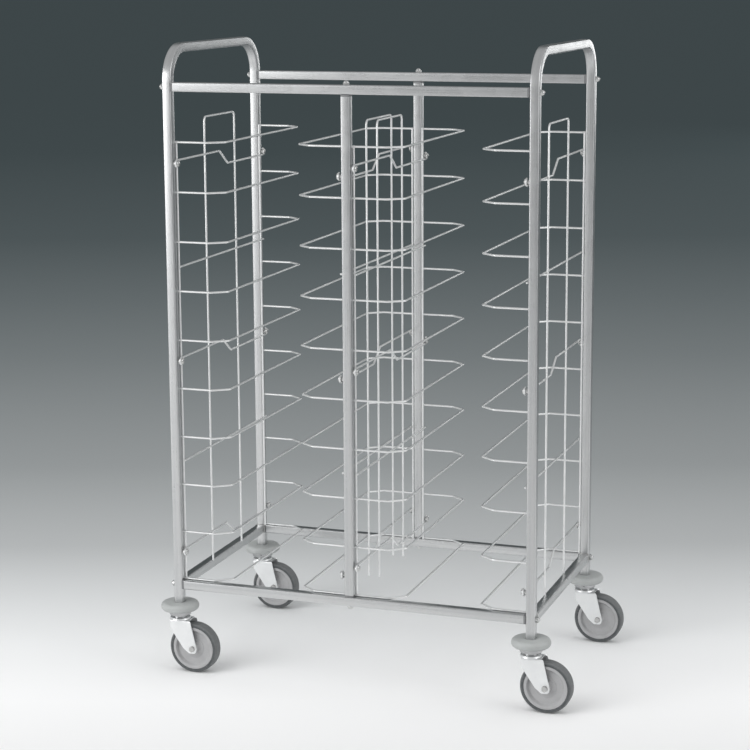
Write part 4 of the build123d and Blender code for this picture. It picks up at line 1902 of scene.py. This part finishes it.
@dataclass
class CastorMounts:
    """The castor pieces that stay with the frame: buffers, and stems with their races."""

    places: Places
    shop: Workshop
    buffer_radius: float = 47 * MM
    buffer_height: float = 20 * MM
    buffer_edge: float = 9 * MM
    buffer_bore: float = 6.1 * MM
    seat_radius: float = 15.2 * MM
    seat_depth: float = 0.3 * MM
    seat_slope: float = 0.4 * MM
    groove: float = 0.5 * MM
    groove_depth: float = 0.3 * MM
    cap_radius: float = 27 * MM
    cap_height: float = 18 * MM
    cap_skirt: float = 6.5 * MM
    cap_undercut: float = 9 * MM
    cap_edge: float = 3 * MM
    pin_radius: float = 6 * MM
    pin_length: float = 38 * MM
    rivet_radius: float = 10 * MM
    rivet_top: float = 131.3 * MM
    rivet_height: float = 4 * MM

    def corners(self) -> list[Matrix]:
        """Swivel axis of each castor at floor level."""
        p = self.places
        return [Matrix.Translation((x, y, 0)) for x in (p.left, p.right) for y in (p.front, p.rear)]

    def buffer(self) -> Shape:
        """Round buffer with rounded edges and a parting groove round its middle.

        Returns:
            The buffer about the swivel axis.
        """
        top, bore, seat = self.places.foot, self.buffer_bore, self.seat_radius
        low, radius, edge = top - self.buffer_height, self.buffer_radius, self.buffer_edge
        middle = (top + low) / 2
        profile = rounded(
            [
                (bore, low, 0.3 * MM),
                (radius, low, edge),
                (radius, middle - self.groove, 0.0),
                (radius - self.groove_depth, middle, 0.0),
                (radius, middle + self.groove, 0.0),
                (radius, top, edge),
                (seat + self.seat_slope, top, 0.3 * MM),
                (seat, top - self.seat_depth, 0.0),
                (bore, top - self.seat_depth, 0.0),
            ],
            9,
        )
        shape = Shape()
        shape.turn_profile(profile, Matrix.Identity(4), 96, closed=True)
        return shape

    def stem(self) -> Shape:
        """Pin, swivel cap with its undercut skirt, and the riveted end under the crown.

        Returns:
            The stem about the swivel axis.
        """
        foot = self.places.foot
        low, pin_top = foot - self.buffer_height, foot + self.pin_length
        cap, pin, neck = self.cap_radius, self.pin_radius, self.cap_radius - self.cap_undercut
        bottom, edge = low - self.cap_height, self.cap_edge
        profile = rounded(
            [
                (0.0, pin_top, 0.0),
                (pin, pin_top, 0.8 * MM),
                (pin, low, 0.2 * MM),
                (cap - edge, low, 0.6 * MM),
                (cap, low - edge, edge),
                (cap, bottom + self.cap_skirt, 0.9 * MM),
                (neck, bottom + self.cap_skirt - 0.6 * MM, 0.6 * MM),
                (neck, bottom, 0.6 * MM),
                (pin, bottom, 0.2 * MM),
                (pin, self.rivet_top, 0.2 * MM),
                (self.rivet_radius, self.rivet_top, 0.6 * MM),
                (self.rivet_radius - 1.5 * MM, self.rivet_top - self.rivet_height, 1.2 * MM),
                (0.0, self.rivet_top - self.rivet_height, 0.0),
            ],
            5,
            closed=False,
        )
        shape = Shape()
        shape.turn_profile(profile, Matrix.Identity(4), 64)
        return shape

    def build(self) -> None:
        """Show the buffers and the stems."""
        finishes, corners = self.shop.finishes, self.corners()
        buffers = self.shop.stamp("buffer_set", self.buffer(), corners, finishes.buffer, 40.0)
        show(buffers.name, buffers, finishes.buffer, "frame", ["castor_buffers"])
        stems = self.shop.stamp("stem_set", self.stem(), corners, finishes.chrome)
        show(stems.name, stems, finishes.chrome, "frame", ["castor_stems"])


# Stage


@dataclass
class Softbox:
    """One large soft lamp. Shiny surfaces mirror it unless mirrored is false."""

    name: str
    place: Point3
    target: Point3
    width: float
    height: float
    power: float
    mirrored: bool = True

    def build(self) -> None:
        """Hang the lamp."""
        lamp = bpy.data.lights.new(self.name, "AREA")
        lamp.shape = "RECTANGLE"
        lamp.size, lamp.size_y, lamp.energy = self.width, self.height, self.power
        holder = bpy.data.objects.new(self.name, lamp)
        bpy.context.scene.collection.objects.link(holder)
        holder.location = self.place
        aim = Vector(self.target) - Vector(self.place)
        holder.rotation_euler = aim.to_track_quat("-Z", "Y").to_euler()
        holder.visible_camera = False
        holder.visible_glossy = self.mirrored


@dataclass
class Studio:
    """Pale floor with a painted pool of light, even surroundings, soft lamps and the camera."""

    floor_half: float = 400.0
    pale: Colour = (0.5, 0.505, 0.51)
    backdrop: Colour = (0.05, 0.062, 0.065)
    front: Colour = (0.52, 0.525, 0.53)
    away: Point3 = (-0.32, 0.925, -0.2)
    front_end: float = 0.1
    pale_start: float = 0.3
    pale_end: float = 0.7
    backdrop_start: float = 0.94
    camera_place: Point3 = (1.602, -4.725, 1.74)
    heading: float = 19.319
    downward: float = 10.432
    roll: float = -0.342
    lens: float = 98.45
    shift_up: float = -0.05

    def build_floor(self) -> None:
        """Lay the floor."""
        half = self.floor_half
        mesh = bpy.data.meshes.new("studio_floor")
        corners = [(-half, -half, 0), (half, -half, 0), (half, half, 0), (-half, half, 0)]
        mesh.from_pydata(corners, [], [(0, 1, 2, 3)])
        mesh.materials.append(PaleFloor("studio_floor").build())
        floor = bpy.data.objects.new("studio_floor", mesh)
        bpy.context.scene.collection.objects.link(floor)

    def build_surroundings(self) -> None:
        """Light the world evenly, but dark low down behind the trolley."""
        world = bpy.data.worlds.new("studio")
        bpy.context.scene.world = world
        world.use_nodes = True
        tree = world.node_tree
        background = tree.nodes["Background"]
        direction = tree.nodes.new("ShaderNodeTexCoord")
        behind = tree.nodes.new("ShaderNodeVectorMath")
        behind.operation = "DOT_PRODUCT"
        behind.inputs[1].default_value = self.away
        half = tree.nodes.new("ShaderNodeMapRange")
        half.inputs["From Min"].default_value = -1.0
        ramp = tree.nodes.new("ShaderNodeValToRGB")
        ramp.color_ramp.interpolation = "EASE"
        stops = ramp.color_ramp.elements
        stops[0].position, stops[0].color = self.front_end, (*self.front, 1.0)
        stops[1].position, stops[1].color = self.backdrop_start, (*self.backdrop, 1.0)
        for position in (self.pale_start, self.pale_end):
            stops.new(position).color = (*self.pale, 1.0)
        tree.links.new(direction.outputs["Generated"], behind.inputs[0])
        tree.links.new(behind.outputs["Value"], half.inputs["Value"])
        tree.links.new(half.outputs["Result"], ramp.inputs["Fac"])
        tree.links.new(ramp.outputs["Color"], background.inputs["Color"])
        background.inputs["Strength"].default_value = 1.0

    def build_lamps(self) -> None:
        """Hang the soft lamps."""
        middle = (0.0, 0.0, 0.8)
        for lamp in (
            Softbox("softbox_left", (-4.4, -4.5, 2.2), middle, 3.6, 3.6, 120.0),
            Softbox("softbox_front", (-2.8, -4.8, 5.0), (-1.4, -1.4, 0.0), 5.0, 5.0, 170.0, False),
            Softbox("softbox_right", (4.2, -0.6, 2.4), middle, 2.8, 3.0, 50.0),
            Softbox("softbox_top", (0.2, 0.4, 6.0), middle, 7.0, 7.0, 85.0, False),
            Softbox("softbox_rear", (3.1, 16.0, 2.0), middle, 3.0, 3.6, 115.0),
        ):
            lamp.build()

    def build_camera(self) -> None:
        """Set the camera at the photograph's place."""
        yaw, pitch, roll = (math.radians(v) for v in (self.heading, self.downward, self.roll))
        ahead = Vector(
            (-math.sin(yaw) * math.cos(pitch), math.cos(yaw) * math.cos(pitch), -math.sin(pitch))
        )
        level = Vector((math.cos(yaw), math.sin(yaw), 0.0))
        above = level.cross(ahead)
        right = level * math.cos(roll) + above * math.sin(roll)
        up = above * math.cos(roll) - level * math.sin(roll)
        camera = bpy.data.cameras.new("camera")
        camera.sensor_fit = "HORIZONTAL"
        camera.sensor_width = 36.0
        camera.lens = self.lens
        camera.shift_y = self.shift_up
        camera.clip_end = 2000.0
        holder = bpy.data.objects.new("camera", camera)
        bpy.context.scene.collection.objects.link(holder)
        turn = Matrix((right, up, -ahead)).transposed().to_4x4()
        holder.matrix_world = Matrix.Translation(self.camera_place) @ turn
        bpy.context.scene.camera = holder

    def build(self) -> None:
        """Build the whole stage."""
        bpy.context.scene.view_settings.view_transform = "Standard"
        self.build_floor()
        self.build_surroundings()
        self.build_lamps()
        self.build_camera()


def dress_shown_nodes(finishes: Finishes) -> None:
    """Give every frame node that is still shown the finish of its slot.

    Args:
        finishes: the trolley's materials.
    """
    slots = {entry["node"]: entry["material_slot"] for entry in frame["record"]["subparts"]}
    for name, node in frame["nodes"].items():
        if node.hide_render:
            continue
        node.data.materials.clear()
        node.data.materials.append(finishes.for_slot(Slot(slots[name])))
        log.info("%s: kept from the frame", name)


def main() -> None:
    """Build the trolley piece by piece, then the stage."""
    logging.basicConfig(level=logging.INFO, format="%(name)s %(message)s")
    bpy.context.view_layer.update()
    shop = Workshop()
    places = Places()
    half = places.tube / 2
    TubeFrame(places, shop).build()
    TubeJoints(places, shop).build()
    racks = [
        WireRack("rack_left", places.left + half, Facing.RIGHT, places, shop),
        WireRack("rack_centre_left", places.middle - half, Facing.LEFT, places, shop),
        WireRack("rack_centre_right", places.middle + half, Facing.RIGHT, places, shop),
        WireRack("rack_right", places.right - half, Facing.LEFT, places, shop),
    ]
    for rack in racks:
        rack.build()
    RackScrews(racks, shop).build()
    CastorMounts(places, shop).build()
    for end_name, y in (("front", places.front), ("rear", places.rear)):
        for side, x in (("left", places.left), ("right", places.right)):
            Castor(f"{end_name}_{side}", x, y, shop).build()
    dress_shown_nodes(shop.finishes)
    Studio().build()


if __name__ == "__main__":
    main()
